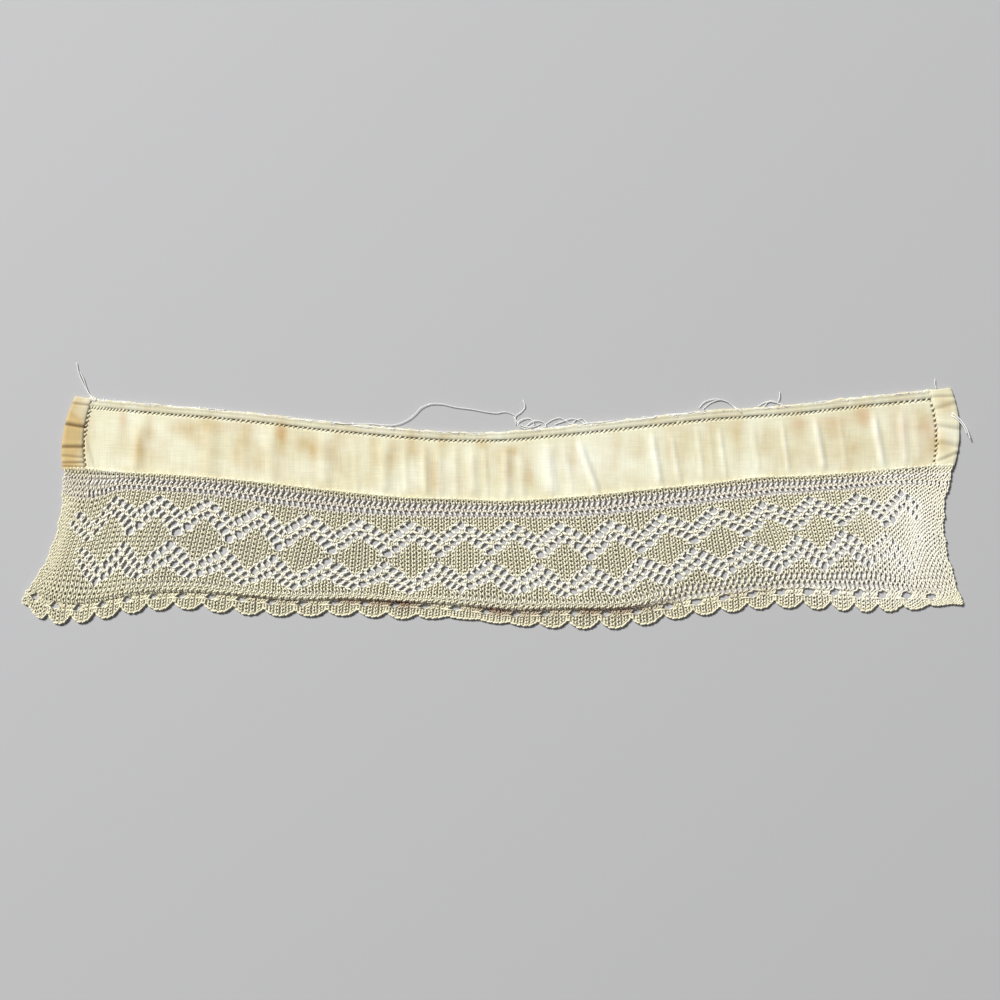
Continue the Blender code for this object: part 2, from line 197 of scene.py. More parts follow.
EYELETS = [
    Eyelet(0.0, 7.0, 1.00, 0.0),
    Eyelet(1.5, 8.0, 1.00, -1.0),
    Eyelet(3.0, 9.1, 0.84, -1.0),
    Eyelet(4.0, 10.2, 0.80, -1.0),
    Eyelet(5.0, 11.1, 0.62, 0.0),
    Eyelet(6.0, 10.2, 0.84, 1.0),
    Eyelet(7.0, 9.2, 1.00, 1.0),
    Eyelet(8.0, 8.1, 1.00, 1.0),
    Eyelet(0.5, 9.8, 0.74, 0.0),
    Eyelet(1.5, 10.7, 0.72, -1.0),
    Eyelet(3.0, 11.8, 1.00, -1.0),
    Eyelet(4.0, 12.8, 1.00, -1.0),
    Eyelet(5.0, 14.3, 1.10, 0.0),
    Eyelet(6.5, 13.1, 1.00, 1.0),
    Eyelet(7.5, 11.7, 0.76, 1.0),
    Eyelet(8.5, 10.5, 0.68, 1.0),
    Eyelet(0.0, 21.8, 0.70, 0.0),
    Eyelet(1.5, 20.7, 0.82, 1.0),
    Eyelet(2.5, 19.6, 0.88, 1.0),
    Eyelet(3.5, 18.6, 0.90, 1.0),
    Eyelet(4.5, 17.4, 0.92, 0.0),
    Eyelet(6.0, 18.5, 0.96, -1.0),
    Eyelet(7.0, 19.5, 0.84, -1.0),
    Eyelet(8.0, 20.8, 0.80, -1.0),
    Eyelet(0.0, 24.0, 0.88, 0.0),
    Eyelet(1.5, 23.2, 0.86, 1.0),
    Eyelet(3.0, 22.1, 0.76, 1.0),
    Eyelet(4.0, 21.2, 0.72, 1.0),
    Eyelet(5.0, 20.3, 0.70, 0.0),
    Eyelet(6.0, 21.4, 0.84, -1.0),
    Eyelet(7.0, 22.6, 0.88, -1.0),
    Eyelet(8.0, 23.4, 0.84, -1.0),
]


class Closing(NamedTuple):
    """Where openings close up as the knit draws in: from one row to another, by a share of their size."""

    from_row: float
    to_row: float
    share: float


UPPER_EYELETS_CLOSE = Closing(140.0, 148.0, 0.25)
LOWER_EYELETS_CLOSE = Closing(130.0, 141.0, 0.6)
UPPER_LADDERS_CLOSE = Closing(136.0, 150.0, 0.65)
LOWER_LADDERS_CLOSE = Closing(132.0, 148.0, 0.6)

# Rows of the first eyelets of both zigzags and of the last, and the smaller eyelets of the left end
FIRST_EYELET_ROW = -8.8
FIRST_LOWER_ROW = -4.8
LAST_EYELET_ROW = 148.6
DRAWN_IN_ROW = 0.0
DRAWN_IN_SCALE = 0.74

# Half the opening of a full eyelet, in row pairs and in stitches, and how far its pull is felt
EYELET_HALF_ROWS = 0.68
EYELET_HALF_STITCHES = 0.92
EYELET_REACH = 1.45
EYELET_LEAN = 0.12
EYELET_ROUNDNESS = 2.3

# The ladders: one slit a row pair, leaning one way in the first line and the other in the second. The slits
# of the lower border are a little smaller
LADDER_HALF_ROWS = 0.46
LADDER_HALF_STITCHES = 0.74
LADDER_REACH = 0.95
LADDER_LEAN = 0.34
LOWER_LADDER_WIDTH = 0.72
LOWER_LADDER_HEIGHT = 0.80
LOWER_LADDER_LEAN = 0.8
LADDER_UNEVEN = (0.80, 1.15)
FIRST_LADDER_ROW = -7.0
LAST_LADDER_ROW = 154.0
UPPER_LADDER_GROWS = (-6.0, 4.0)
FIRST_LOWER_LADDER_ROW = 93.0
LAST_LOWER_LADDER_ROW = 150.5
LOWER_LADDER_GROWS = (90.0, 101.0)


class Ladder(NamedTuple):
    """A line of slits: its stitch, the way its slits lean, and how far they are off the row pairs."""

    stitch: float
    lean: float
    offset: float


UPPER_LADDERS = [Ladder(1.95, -1.0, 0.0), Ladder(3.95, 1.0, 0.5)]
LOWER_LADDERS = [Ladder(25.9, -1.0, 0.5), Ladder(27.4, 1.0, 0.0)]

# The slot in each scallop; under the roll it is smaller and lies a little further down
SLOT_DROP = 0.35
SLOT_HALF_ROWS = 1.0
SLOT_HALF_STITCHES = 0.86
SLOT_REACH = 2.3
SLOT_LEAN = -0.42
SLOT_ROUNDNESS = 4.0


class Hole(NamedTuple):
    """An opening between strands: its place, half width and half height, and how the strands give way."""

    row: float
    stitch: float
    half_rows: float
    half_stitches: float
    lean: float
    reach: float
    roundness: float


class Pucker(NamedTuple):
    """A soft fold across the band, in millimetres: where it meets the join and the hem, and its size."""

    foot_x: float
    head_x: float
    half_width: float
    height: float


# Power that narrows the crest of a fold, how much of a fold's height the cloth takes up, and the shares of
# the band's height between which folds rise, stand and fade
FOLD_SHARPNESS = 1.5
FOLD_SHARE = 0.8
FOLD_SPAN = (-0.02, 0.16, 0.58, HEM_LINE_LOW)
PUCKERS = [
    Pucker(-150, -146, 5.0, 0.5),
    Pucker(-118, -119, 6.0, 0.6),
    Pucker(-104, -105, 3.0, 0.2),
    Pucker(-92, -94, 5.0, 0.5),
    Pucker(-70, -72, 5.0, 0.6),
    Pucker(-57, -58, 2.6, 0.25),
    Pucker(-45, -46, 4.5, 0.7),
    Pucker(-36, -37, 2.2, 0.35),
    Pucker(-28, -29, 2.6, 0.7),
    Pucker(-22, -23, 3.4, 0.4),
    Pucker(-15, -16, 2.2, 0.35),
    Pucker(-8, -9, 3.6, 0.6),
    Pucker(-2, -4, 1.6, 0.35),
    Pucker(6, 5, 3.6, 0.7),
    Pucker(13, 11, 2.2, 0.3),
    Pucker(25, 22, 5.0, 0.7),
    Pucker(34, 28, 2.4, 0.3),
    Pucker(44.5, 33.5, 2.6, 1.15),
    Pucker(70.6, 65.6, 2.4, 0.9),
    Pucker(79, 73, 2.0, 0.6),
    Pucker(88.5, 85, 1.5, 0.4),
    Pucker(93, 90, 1.3, 0.3),
    Pucker(98, 94, 1.6, 0.6),
    Pucker(112, 108, 2.0, 0.3),
    Pucker(124.6, 120.4, 1.8, 0.6),
    Pucker(139.6, 134, 2.6, 0.9),
    Pucker(149, 144, 1.8, 0.35),
    Pucker(164.2, 158.4, 2.7, 0.9),
    Pucker(173.4, 171, 2.2, 0.6),
    Pucker(179, 177, 1.6, 0.3),
]

# A small flap folded against the left hem: its tip, and how far it widens from there to the join, in mm
FLAP_X = -171.0
FLAP_SLOPE = 8.5
FLAP_HEIGHT = 0.45 * MM


class Patch(NamedTuple):
    """A soft oval patch of age on the cloth or the lace, in millimetres."""

    x: float
    y: float
    half_x: float
    half_y: float
    amount: float


# Tan water stains and handling marks of the cloth and of the lace
TAN_PATCHES = [
    Patch(-178, 31, 8, 24, 1.20),
    Patch(-182, -14, 9, 24, 0.30),
    Patch(-155, 33, 2.5, 7, 0.35),
    Patch(-148, 27, 2.2, 11, 0.45),
    Patch(-144, 33, 2.5, 9, 0.50),
    Patch(-131, 33, 6, 4, 0.30),
    Patch(-118, 35, 9, 4, 0.45),
    Patch(-104, 32, 5, 6, 0.42),
    Patch(-107, 22, 2.5, 7, 0.25),
    Patch(-89, 32, 3.0, 5, 0.60),
    Patch(-88, 27, 2.2, 9, 0.35),
    Patch(-80, 28, 4.5, 5, 0.45),
    Patch(-75, 22, 2.2, 8, 0.45),
    Patch(-66, 27, 3.2, 10, 0.40),
    Patch(-60, 20, 5, 4, 0.30),
    Patch(-50, 26, 2.6, 9, 0.45),
    Patch(-42, 22, 2.2, 9, 0.35),
    Patch(-34, 27, 2.0, 8, 0.30),
    Patch(-25, 14, 2.8, 9, 0.55),
    Patch(-21, 27, 2.5, 6, 0.35),
    Patch(-14, 20, 2.4, 8, 0.35),
    Patch(-5, 27, 3.5, 3, 0.55),
    Patch(-3, 16, 2.2, 8, 0.40),
    Patch(9, 24, 6, 3, 0.55),
    Patch(6, 18, 4, 9, 0.50),
    Patch(15, 16, 2.6, 10, 0.50),
    Patch(34, 22, 2, 9, 0.18),
    Patch(52, 24, 2.6, 9, 0.22),
    Patch(62, 25, 2.2, 9, 0.20),
    Patch(74, 28, 2.0, 8, 0.42),
    Patch(80, 24, 3.2, 8, 0.25),
    Patch(91, 26, 3.4, 9, 0.40),
    Patch(103, 27, 3.0, 9, 0.40),
    Patch(115, 30, 3.0, 9, 0.30),
    Patch(128, 33, 4.0, 6, 0.45),
    Patch(144, 34, 6.0, 6, 0.50),
    Patch(155, 38, 4.0, 5, 0.60),
    Patch(152, 27, 4.0, 6, 0.30),
    Patch(168, 37, 3.0, 8, 0.40),
    Patch(180, 36, 6.0, 7, 0.45),
    Patch(187, 27, 6.0, 5, 0.60),
    Patch(190, 44, 4.0, 4, 0.40),
    Patch(-95, 24, 78, 26, 0.16),
    Patch(140, 32, 62, 26, 0.08),
]
# Cleaner, whiter places of the cloth and of the lace
PALE_PATCHES = [
    Patch(178, -12, 24, 40, 0.75),
    Patch(146, -32, 30, 12, 0.6),
    Patch(40, 20, 26, 10, 0.8),
    Patch(-160, 16, 8, 8, 0.5),
    Patch(-118, 8, 14, 6, 0.4),
]
# Pinkish marks
ROSE_PATCHES = [
    Patch(-155, 37, 2.2, 4, 0.45),
    Patch(-89, 32, 2.8, 3, 0.40),
    Patch(129, 35, 3.2, 3, 0.55),
    Patch(142, 36, 8, 3, 0.40),
    Patch(156, 38, 3.4, 5, 0.50),
    Patch(172, 33, 5, 8, 0.30),
    Patch(183, 33, 6, 4, 0.40),
]


class Crease(NamedTuple):
    """A cross crease of a side hem: share of the band's height, slope outwards, depth in mm, half width."""

    share: float
    slope: float
    depth: float
    half_width: float


LEFT_HEM_CREASES = [
    Crease(0.02, -0.001, 0.22, 0.016),
    Crease(0.09, 0.003, 0.25, 0.016),
    Crease(0.16, -0.002, 0.15, 0.018),
    Crease(0.31, 0.003, 0.34, 0.024),
    Crease(0.59, -0.003, 0.40, 0.026),
    Crease(0.90, 0.001, 0.20, 0.018),
]
RIGHT_HEM_CREASES = [
    Crease(0.05, 0.020, 0.28, 0.024),
    Crease(0.30, -0.012, 0.22, 0.034),
    Crease(0.52, -0.012, 0.26, 0.030),
    Crease(0.74, 0.010, 0.20, 0.030),
    Crease(0.90, -0.004, 0.22, 0.020),
]


class SideHem(NamedTuple):
    """A side hem: rows of its inner and outer edge, bulge of its fold, and painted shade in its creases."""

    name: str
    inner: float
    outer: float
    rim: float
    creases: list
    dirt_and_shade: float


SIDE_HEMS = [
    SideHem("band_hem_left", LEFT_HEM_ROW, FIRST_ROW, -0.12, LEFT_HEM_CREASES, 1.0),
    SideHem("band_hem_right", RIGHT_HEM_ROW, LAST_ROW, 0.12, RIGHT_HEM_CREASES, 0.35),
]


class RustRun(NamedTuple):
    """A run of the rust-brown line in the crease under the rolled ridge, in millimetres."""

    from_x: float
    to_x: float
    strength: float


RUST_RUNS = [
    RustRun(-112, -64, 0.25),
    RustRun(-70, -24, 0.85),
    RustRun(-14, 76, 0.75),
    RustRun(96, 120, 0.30),
]
RUST_FADE = 6.0

# Where the yarn changes colour, in stitches: the greyer ladders, the crease that holds the rust and the
# strip below it, and where the whiter thread round the eyelets ends
UPPER_GREY = (0.4, 1.4, 4.6, 5.4)
LOWER_GREY = (24.8, 25.6, 27.8, 28.6)
CREASE_STITCH = 28.2
BELOW_CREASE = 29.4
WASHED_TO = (24.4, 25.4)

# The slipped stitches of the edge: points in a link, half its width and how far in it lies, in stitches
LINK_POINTS = 8
LINK_HALF = 0.24
LINK_INSET = 0.10

# Hem-stitching and fringe: half widths in millimetres, and spacing as a share of the height or in row pairs
BUNDLE_RADII = (0.46, 0.58)
SIDE_BUNDLE_RADII = (0.52, 0.64)
SIDE_BUNDLE_PITCH = 0.066
BUNDLE_SQUASH = 0.38
FRINGE_PITCH = 0.07
FRINGE_RADII = (0.09, 0.17)
LONG_FRAY_PITCH = 2.2
LONG_FRAY_RADII = (0.10, 0.17)

# Old sewing thread that still hangs in the heading, as points in millimetres; the last two lie double
DOUBLED_THREADS = 2
DOUBLED_WIDTH = 1.8
THREADS = [
    [(-166.0, 45.2), (-168.2, 46.5), (-170.6, 50.6), (-171.8, 54.5), (-173.3, 57.0)],
    [(-167.0, 45.6), (-169.0, 47.5), (-172.2, 53.0), (-173.9, 57.4), (-174.5, 60.8)],
    [(-68.3, 36.0), (-63.0, 35.2), (-57.8, 35.1), (-51.5, 35.3), (-45.2, 34.7), (-39.7, 35.1),
     (-36.2, 36.6), (-33.0, 38.9), (-30.1, 41.9), (-26.7, 43.5), (-21.7, 43.6), (-15.8, 42.3),
     (-9.1, 41.4), (-2.8, 40.2), (1.4, 39.7), (5.2, 40.2), (9.8, 38.5)],
    [(9.8, 34.6), (9.8, 38.5), (11.9, 40.2), (13.6, 42.3), (12.8, 45.2)],
    [(9.0, 38.1), (11.1, 35.1), (14.5, 33.9), (17.4, 35.1), (16.1, 37.2), (12.8, 37.2), (10.3, 35.1),
     (12.4, 33.5), (17.0, 33.9), (20.3, 35.1)],
    [(14.0, 34.2), (17.0, 36.4), (20.6, 36.2), (22.4, 34.2), (19.0, 33.6)],
    [(22.0, 34.7), (25.0, 36.8), (28.3, 37.7), (30.8, 36.4), (32.9, 35.1), (35.0, 36.8), (37.6, 37.2),
     (40.1, 35.1)],
    [(26.0, 34.9), (29.5, 36.3), (33.5, 37.4), (37.0, 36.2), (38.6, 35.0)],
    [(86.7, 41.9), (88.4, 44.0), (93.0, 45.6), (97.6, 44.8), (101.0, 42.7), (104.3, 39.8)],
    [(88.4, 41.4), (92.2, 44.4), (96.4, 45.2), (99.7, 43.5), (102.7, 41.0)],
    [(111.5, 42.7), (114.8, 44.4), (119.5, 44.0), (123.2, 42.3)],
    [(119.5, 44.0), (120.3, 46.1), (120.5, 48.6)],
    [(113.5, 42.3), (117.0, 45.0), (120.5, 43.2)],
    [(186.1, 50.2), (185.6, 52.0), (185.8, 54.0)],
    [(192.5, 39.8), (195.5, 37.2), (198.0, 33.9), (200.1, 28.8)],
    [(192.3, 38.6), (194.6, 37.0), (197.0, 34.4), (198.8, 31.0)],
]


def linear(code):
    """Linear numbers of an sRGB hex colour."""
    parts = [int(code[i:i + 2], 16) / 255.0 for i in (1, 3, 5)]
    return tuple(c / 12.92 if c <= 0.04045 else ((c + 0.055) / 1.055) ** 2.4 for c in parts)


class LaceSettings(PropertyGroup):
    """Sizes of the knitted lace."""

    yarn_width: FloatProperty(
        name="Yarn width", description="Width of the knitting cotton", default=0.71 * MM, unit="LENGTH")
    loop_reach: FloatProperty(
        name="Loop reach", description="How far a loop reaches to its neighbours, in row pairs",
        default=0.12)
    ridge_gather: FloatProperty(
        name="Ridge gather", description="How much closer the two rows of a ridge lie, in row pairs",
        default=0.035)
    loop_swing: FloatProperty(
        name="Loop swing", description="How far the legs of a loop swing along the row, in stitches",
        default=0.045)
    loop_slant: FloatProperty(
        name="Loop slant", description="Lean of the loops down along the rows, in stitches to a row pair",
        default=0.9)
    loop_depth: FloatProperty(
        name="Loop depth", description="Half the height between the front and the back of a loop",
        default=0.27 * MM, unit="LENGTH")
    lie_height: FloatProperty(
        name="Lie height", description="Height of the middle of the knitted sheet", default=0.68 * MM,
        unit="LENGTH")
    ridge_height: FloatProperty(
        name="Ridge height", description="Rise of the rolled ridge", default=1.25 * MM, unit="LENGTH")
    steps: IntProperty(
        name="Steps", description="Points along the yarn in each stitch", default=7, min=6, max=12)
    sides: IntProperty(name="Sides", description="Sides of the yarn", default=4, min=3, max=6)
    pieces: IntProperty(name="Pieces", description="Objects that share the knitted rows", default=5)


class BandSettings(PropertyGroup):
    """Sizes of the cloth band."""

    cloth_thick: FloatProperty(
        name="Cloth thickness", description="Thickness of the cotton cloth", default=0.32 * MM,
        unit="LENGTH")
    hem_thick: FloatProperty(
        name="Hem thickness", description="Height of the doubled hems", default=1.15 * MM, unit="LENGTH")
    grid_step: FloatProperty(
        name="Grid step", description="Spacing of the cloth's own grid", default=0.9 * MM, unit="LENGTH")
    stitch_pitch: FloatProperty(
        name="Hem-stitch pitch", description="Spacing of the bundles of pulled thread", default=2.0 * MM,
        unit="LENGTH")
    thread_width: FloatProperty(
        name="Thread width", description="Width of the old sewing thread", default=0.29 * MM,
        unit="LENGTH")


class ColourSettings(PropertyGroup):
    """Colours of the cotton and of its age marks."""

    yarn: FloatVectorProperty(
        name="Knitting cotton", description="Ecru of the lace", subtype="COLOR",
        default=linear("#FCF7D9"))
    yarn_white: FloatVectorProperty(
        name="Washed cotton", description="Whiter thread round the eyelets", subtype="COLOR",
        default=linear("#FFFDF3"))
    # Painted shade: the dark colour laid on the low parts of the loops, where shade falls between the
    # stitches
    yarn_painted_shade: FloatVectorProperty(
        name="Inside the loops", description="Dust and shade between the stitches", subtype="COLOR",
        default=linear("#4A3C20"))
    yarn_grey: FloatVectorProperty(
        name="Ladder thread", description="Greyer, more handled thread of the ladders", subtype="COLOR",
        default=linear("#F4EBE2"))
    rust: FloatVectorProperty(
        name="Rust", description="Red-brown stain in the crease", subtype="COLOR",
        default=linear("#7A3F1E"))
    cloth: FloatVectorProperty(
        name="Cloth", description="Cream of the band", subtype="COLOR", default=linear("#E7E4C6"))
    # This colour is also the painted highlight on the crests of the band's folds
    cloth_pale: FloatVectorProperty(
        name="Clean cloth", description="Where the band stayed clean", subtype="COLOR",
        default=linear("#F1F1DF"))
    tan: FloatVectorProperty(
        name="Tan", description="Old water marks", subtype="COLOR", default=linear("#C6AC77"))
    rose: FloatVectorProperty(
        name="Rose", description="Pinkish marks", subtype="COLOR", default=linear("#D2AC86"))
    sewing: FloatVectorProperty(
        name="Sewing thread", description="White thread ends", subtype="COLOR",
        default=linear("#FFFEFA"))
    # Painted shade in the creases of the side hems, with faint dirt on the heading
    crease: FloatVectorProperty(
        name="Crease", description="Dirt caught in the creases of the hems", subtype="COLOR",
        default=linear("#6B4C25"))


def hermite(values, knots, heights):
    """Smooth curves through the knots, one column of heights for each, at all the values at once."""
    knots = np.asarray(knots, dtype=float)
    slopes = np.gradient(heights, knots, axis=0)
    last = len(knots) - 2
    i = np.clip(np.searchsorted(knots, values) - 1, 0, last)
    span = knots[i + 1] - knots[i]
    t = (values - knots[i]) / span
    pick = np.arange(len(values))
    if heights.ndim == 3:
        low, high = heights[i, :, pick], heights[i + 1, :, pick]
        from_slope, to_slope = slopes[i, :, pick], slopes[i + 1, :, pick]
    else:
        low, high = heights[i], heights[i + 1]
        from_slope, to_slope = slopes[i], slopes[i + 1]
    rise = (t * t * (3.0 - 2.0 * t))[:, None]
    start = (t * (1.0 - t) * (1.0 - t) * span)[:, None] * from_slope
    stop = (t * t * (t - 1.0) * span)[:, None] * to_slope
    return low + rise * (high - low) + start + stop


def smooth_step(value, low, high):
    """Smooth rise from 0 at low to 1 at high."""
    t = np.clip((value - low) / (high - low), 0.0, 1.0)
    return t * t * (3.0 - 2.0 * t)


def plateau(value, start, full, ebb, stop):
    """Smooth rise from 0 at start to 1 at full, and smooth fall from 1 at ebb to 0 at stop."""
    return smooth_step(value, start, full) * (1.0 - smooth_step(value, ebb, stop))


def sections_at(rows):
    """The section table's columns at each row, in metres."""
    table = np.array(SECTIONS, dtype=float)
    return hermite(rows, table[:, 0], table[:, 1:]) * MM


def notch_share(rows):
    """How near each row is to a notch of the scalloped edge: 0 at a tip and 1 at a notch."""
    turns = (rows - FIRST_NOTCH_ROW) / SCALLOP_ROWS
    near = np.abs(2.0 * (turns - np.floor(turns)) - 1.0)
    last_notch = FIRST_NOTCH_ROW + SCALLOP_ROWS * SLOT_COUNT
    before = 1.0 - (FIRST_NOTCH_ROW - rows) / (FIRST_NOTCH_ROW - FIRST_ROW)
    after = 1.0 - (rows - last_notch) / (LAST_ROW - last_notch)
    near = np.where(rows < FIRST_NOTCH_ROW, np.clip(before, 0.0, 1.0), near)
    return np.where(rows > last_notch, np.clip(after, 0.0, 1.0), near)


def lace_points(rows, stitches):
    """X and Y of places on the lace, on smooth paths through the marked places of their rows."""
    s = sections_at(rows)
    places = [JOIN_STITCH, PEAK_STITCH, VALLEY_STITCH, SLOT_STITCH, EDGE_STITCH]
    join_x, join_y, peak_x, peak_y, valley_x, valley_y, slot_x, slot_y, drop, lobe = s[:, 3:].T
    edge_x = slot_x + (slot_x - valley_x) * EDGE_LEAN
    edge_y = slot_y - drop
    across = np.stack([join_x, peak_x, valley_x, slot_x, edge_x])
    down = np.stack([join_y, peak_y, valley_y, slot_y, edge_y])
    found = hermite(stitches, places, np.stack([across, down], axis=1))
    border = np.clip((stitches - SLOT_STITCH) / (EDGE_STITCH - SLOT_STITCH), 0.0, 1.3)
    found[:, 1] += lobe * NOTCH_DEPTH * notch_share(rows) ** LOBE_POWER * border ** 1.4
    return found[:, 0] - MIDDLE_X, found[:, 1] - MIDDLE_Y


def band_points(rows, shares):
    """X and Y on the band, from the seam at share 0 to the heading's edge at share 1."""
    s = sections_at(rows)
    head_x, head_y, bow, join_x, join_y = s[:, :5].T
    low_y = join_y + SEAM_GAP
    x = join_x + (head_x - join_x) * shares + bow * 4.0 * shares * (1.0 - shares)
    y = low_y + (head_y - low_y) * shares
    return x - MIDDLE_X, y - MIDDLE_Y


def pucker_height(x, shares):
    """Height of the soft folds over points of the band, fading out at the join and the hem."""
    total = np.zeros_like(x)
    for fold in PUCKERS:
        middle = (fold.foot_x + (fold.head_x - fold.foot_x) * shares) * MM
        distance = np.clip(np.abs(x - middle) / (fold.half_width * MM), 0.0, 1.0)
        total += fold.height * MM * (0.5 * (1.0 + np.cos(math.pi * distance))) ** FOLD_SHARPNESS
    return total * plateau(shares, *FOLD_SPAN)


def patch_amount(x, y, patches):
    """How strong the age marks are at each point."""
    total = np.zeros_like(x)
    for p in patches:
        far = ((x / MM - p.x) / p.half_x) ** 2 + ((y / MM - p.y) / p.half_y) ** 2
        total += p.amount * np.exp(-far * 1.4)
    return total


def ripple(x, y, seed):
    """Slow unevenness from -1 to 1, the same each time."""
    a = np.sin(x / (7.3 * MM) + seed) * np.cos(y / (9.1 * MM) - 1.7 * seed)
    b = np.sin(x / (3.1 * MM) + y / (5.7 * MM) + 2.3 * seed)
    return 0.6 * a + 0.4 * b


def make_mesh(name, points, quads, uv=None, marks=None):
    """A mesh object from arrays of points and quads, with its own map and its named marks."""
    mesh = bpy.data.meshes.new(name)
    mesh.from_pydata(points.tolist(), [], quads.tolist())
    if uv is not None:
        layer = mesh.uv_layers.new(name="along")
        layer.uv.foreach_set("vector", uv.astype(np.float32).ravel())
    for mark, amounts in (marks or {}).items():
        layer = mesh.attributes.new(mark, "FLOAT", "POINT")
        layer.data.foreach_set("value", amounts.astype(np.float32))
    mesh.validate()
    obj = bpy.data.objects.new(name, mesh)
    bpy.context.scene.collection.objects.link(obj)
    return obj


def select_only(obj):
    """Selects one object alone and makes it active."""
    bpy.ops.object.select_all(action="DESELECT")
    obj.select_set(True)
    bpy.context.view_layer.objects.active = obj


def grid_quads(n, m):
    """Quads over a grid of n by m points, each going first along n and then along m."""
    i = np.arange(n - 1)[:, None] * m
    k = np.arange(m - 1)[None, :]
    return np.stack([i + k, i + m + k, i + m + k + 1, i + k + 1], axis=-1).reshape(-1, 4)


def thicken(obj, thickness, offset):
    """Gives a cloth its thickness and applies it: below its grid at offset -1, half above it at 0."""
    select_only(obj)
    wall = obj.modifiers.new("thickness", "SOLIDIFY")
    wall.thickness = thickness
    wall.offset = offset
    bpy.ops.object.modifier_apply(modifier=wall.name)
    bpy.ops.object.shade_smooth()


def tube_arrays(path, radii, sides, squash=1.0):
    """Points, quads and map corners of a tube round a path; squash flattens it against the floor."""
    along = np.gradient(path, axis=0)
    along /= np.maximum(np.linalg.norm(along, axis=1), 1e-12)[:, None]
    side = np.cross(along, (0.0, 0.0, 1.0))
    side /= np.maximum(np.linalg.norm(side, axis=1), 1e-9)[:, None]
    up = np.cross(side, along) * squash
    count = len(path)
    turn = 2.0 * math.pi * (np.arange(sides) + 0.25) / sides
    ring = np.cos(turn)[None, :, None] * side[:, None] + np.sin(turn)[None, :, None] * up[:, None]
    points = (path[:, None] + ring * np.asarray(radii)[:, None, None]).reshape(-1, 3)
    i = np.arange(count - 1)[:, None] * sides
    k = np.arange(sides)[None, :]
    after = (k + 1) % sides
    quads = np.stack([i + k, i + after, i + sides + after, i + sides + k], axis=-1).reshape(-1, 4)
    length = np.concatenate([[0.0], np.cumsum(np.linalg.norm(np.diff(path, axis=0), axis=1))])
    low, high = length[:-1, None].repeat(sides, 1), length[1:, None].repeat(sides, 1)
    left = np.broadcast_to(k / sides, low.shape)
    right = np.broadcast_to((k + 1) / sides, low.shape)
    uv = np.stack([low, left, low, right, high, right, high, left], axis=-1).reshape(-1, 2)
    return points, quads, uv


def cap_tube(obj, sides, runs):
    """Closes both ends of each tube of the mesh; runs holds where each tube's points start and stop."""
    bm = bmesh.new()
    bm.from_mesh(obj.data)
    bm.verts.ensure_lookup_table()
    for start, stop in runs:
        bm.faces.new([bm.verts[start + k] for k in range(sides)][::-1])
        bm.faces.new([bm.verts[stop - sides + k] for k in range(sides)])
    bm.normal_update()
    bm.to_mesh(obj.data)
    bm.free()


def make_tubes(name, paths, radii, sides, marks=None, squash=1.0):
    """One object from several tubes, each round its own path."""
    points, quads, uvs, runs, start = [], [], [], [], 0
    for path, radius in zip(paths, radii):
        p, q, uv = tube_arrays(path, radius, sides, squash)
        points.append(p)
        quads.append(q + start)
        uvs.append(uv)
        runs.append((start, start + len(p)))
        start += len(p)
    spread = {k: np.repeat(v, sides) for k, v in (marks or {}).items()}
    obj = make_mesh(name, np.concatenate(points), np.concatenate(quads), np.concatenate(uvs), spread)
    cap_tube(obj, sides, runs)
    select_only(obj)
    bpy.ops.object.shade_smooth()
    return obj


def left_open(row, closing):
    """Share of its size that an opening of that row keeps where the knit draws in."""
    return 1.0 - closing.share * float(smooth_step(row, closing.from_row, closing.to_row))


def eyelet_holes(rng):
    """The eyelets of both zigzags, which close up towards the drawn-in right end."""
    holes = []
    first = int(math.floor(FIRST_EYELET_ROW / ZIGZAG_ROWS))
    last = int(math.ceil(LAST_EYELET_ROW / ZIGZAG_ROWS))
    for repeat in range(first, last + 1):
        for e in EYELETS:
            row = repeat * ZIGZAG_ROWS + e.phase
            first_row = FIRST_EYELET_ROW if e.stitch < MIDDLE_STITCH else FIRST_LOWER_ROW
            uneven = rng.uniform(0.88, 1.12)
            if not first_row <= row <= LAST_EYELET_ROW:
                continue
            drawn_in = DRAWN_IN_SCALE if row < DRAWN_IN_ROW else 1.0
            size = e.size * uneven * drawn_in
            closing = LOWER_EYELETS_CLOSE if e.stitch > MIDDLE_STITCH else UPPER_EYELETS_CLOSE
            size = size * left_open(row, closing)
            holes.append(Hole(row, e.stitch, EYELET_HALF_ROWS * size, EYELET_HALF_STITCHES * size ** 0.6,
                              e.lean * EYELET_LEAN * size, EYELET_REACH, EYELET_ROUNDNESS))
    return holes


def ladder_holes(rng):
    """The slits of the ladders along the join, and of the flat part of the lower border."""
    holes = []
    for stitch, lean, offset in UPPER_LADDERS:
        for row in np.arange(FIRST_LADDER_ROW, LAST_LADDER_ROW + 0.5) + offset:
            size = rng.uniform(*LADDER_UNEVEN) * left_open(row, UPPER_LADDERS_CLOSE)
            size = size * (0.6 + 0.4 * float(smooth_step(row, *UPPER_LADDER_GROWS)))
            holes.append(Hole(row, stitch, LADDER_HALF_ROWS * size, LADDER_HALF_STITCHES * size ** 0.4,
                              lean * LADDER_LEAN, LADDER_REACH, EYELET_ROUNDNESS))
    for stitch, lean, offset in LOWER_LADDERS:
        for row in np.arange(FIRST_LOWER_LADDER_ROW, LAST_LOWER_LADDER_ROW) + offset:
            size = rng.uniform(*LADDER_UNEVEN) * float(smooth_step(row, *LOWER_LADDER_GROWS))
            size = size * left_open(row, LOWER_LADDERS_CLOSE)
            holes.append(Hole(row, stitch, LADDER_HALF_ROWS * size * LOWER_LADDER_WIDTH,
                              LADDER_HALF_STITCHES * LOWER_LADDER_HEIGHT,
                              lean * LADDER_LEAN * LOWER_LADDER_LEAN, LADDER_REACH, EYELET_ROUNDNESS))
    return holes


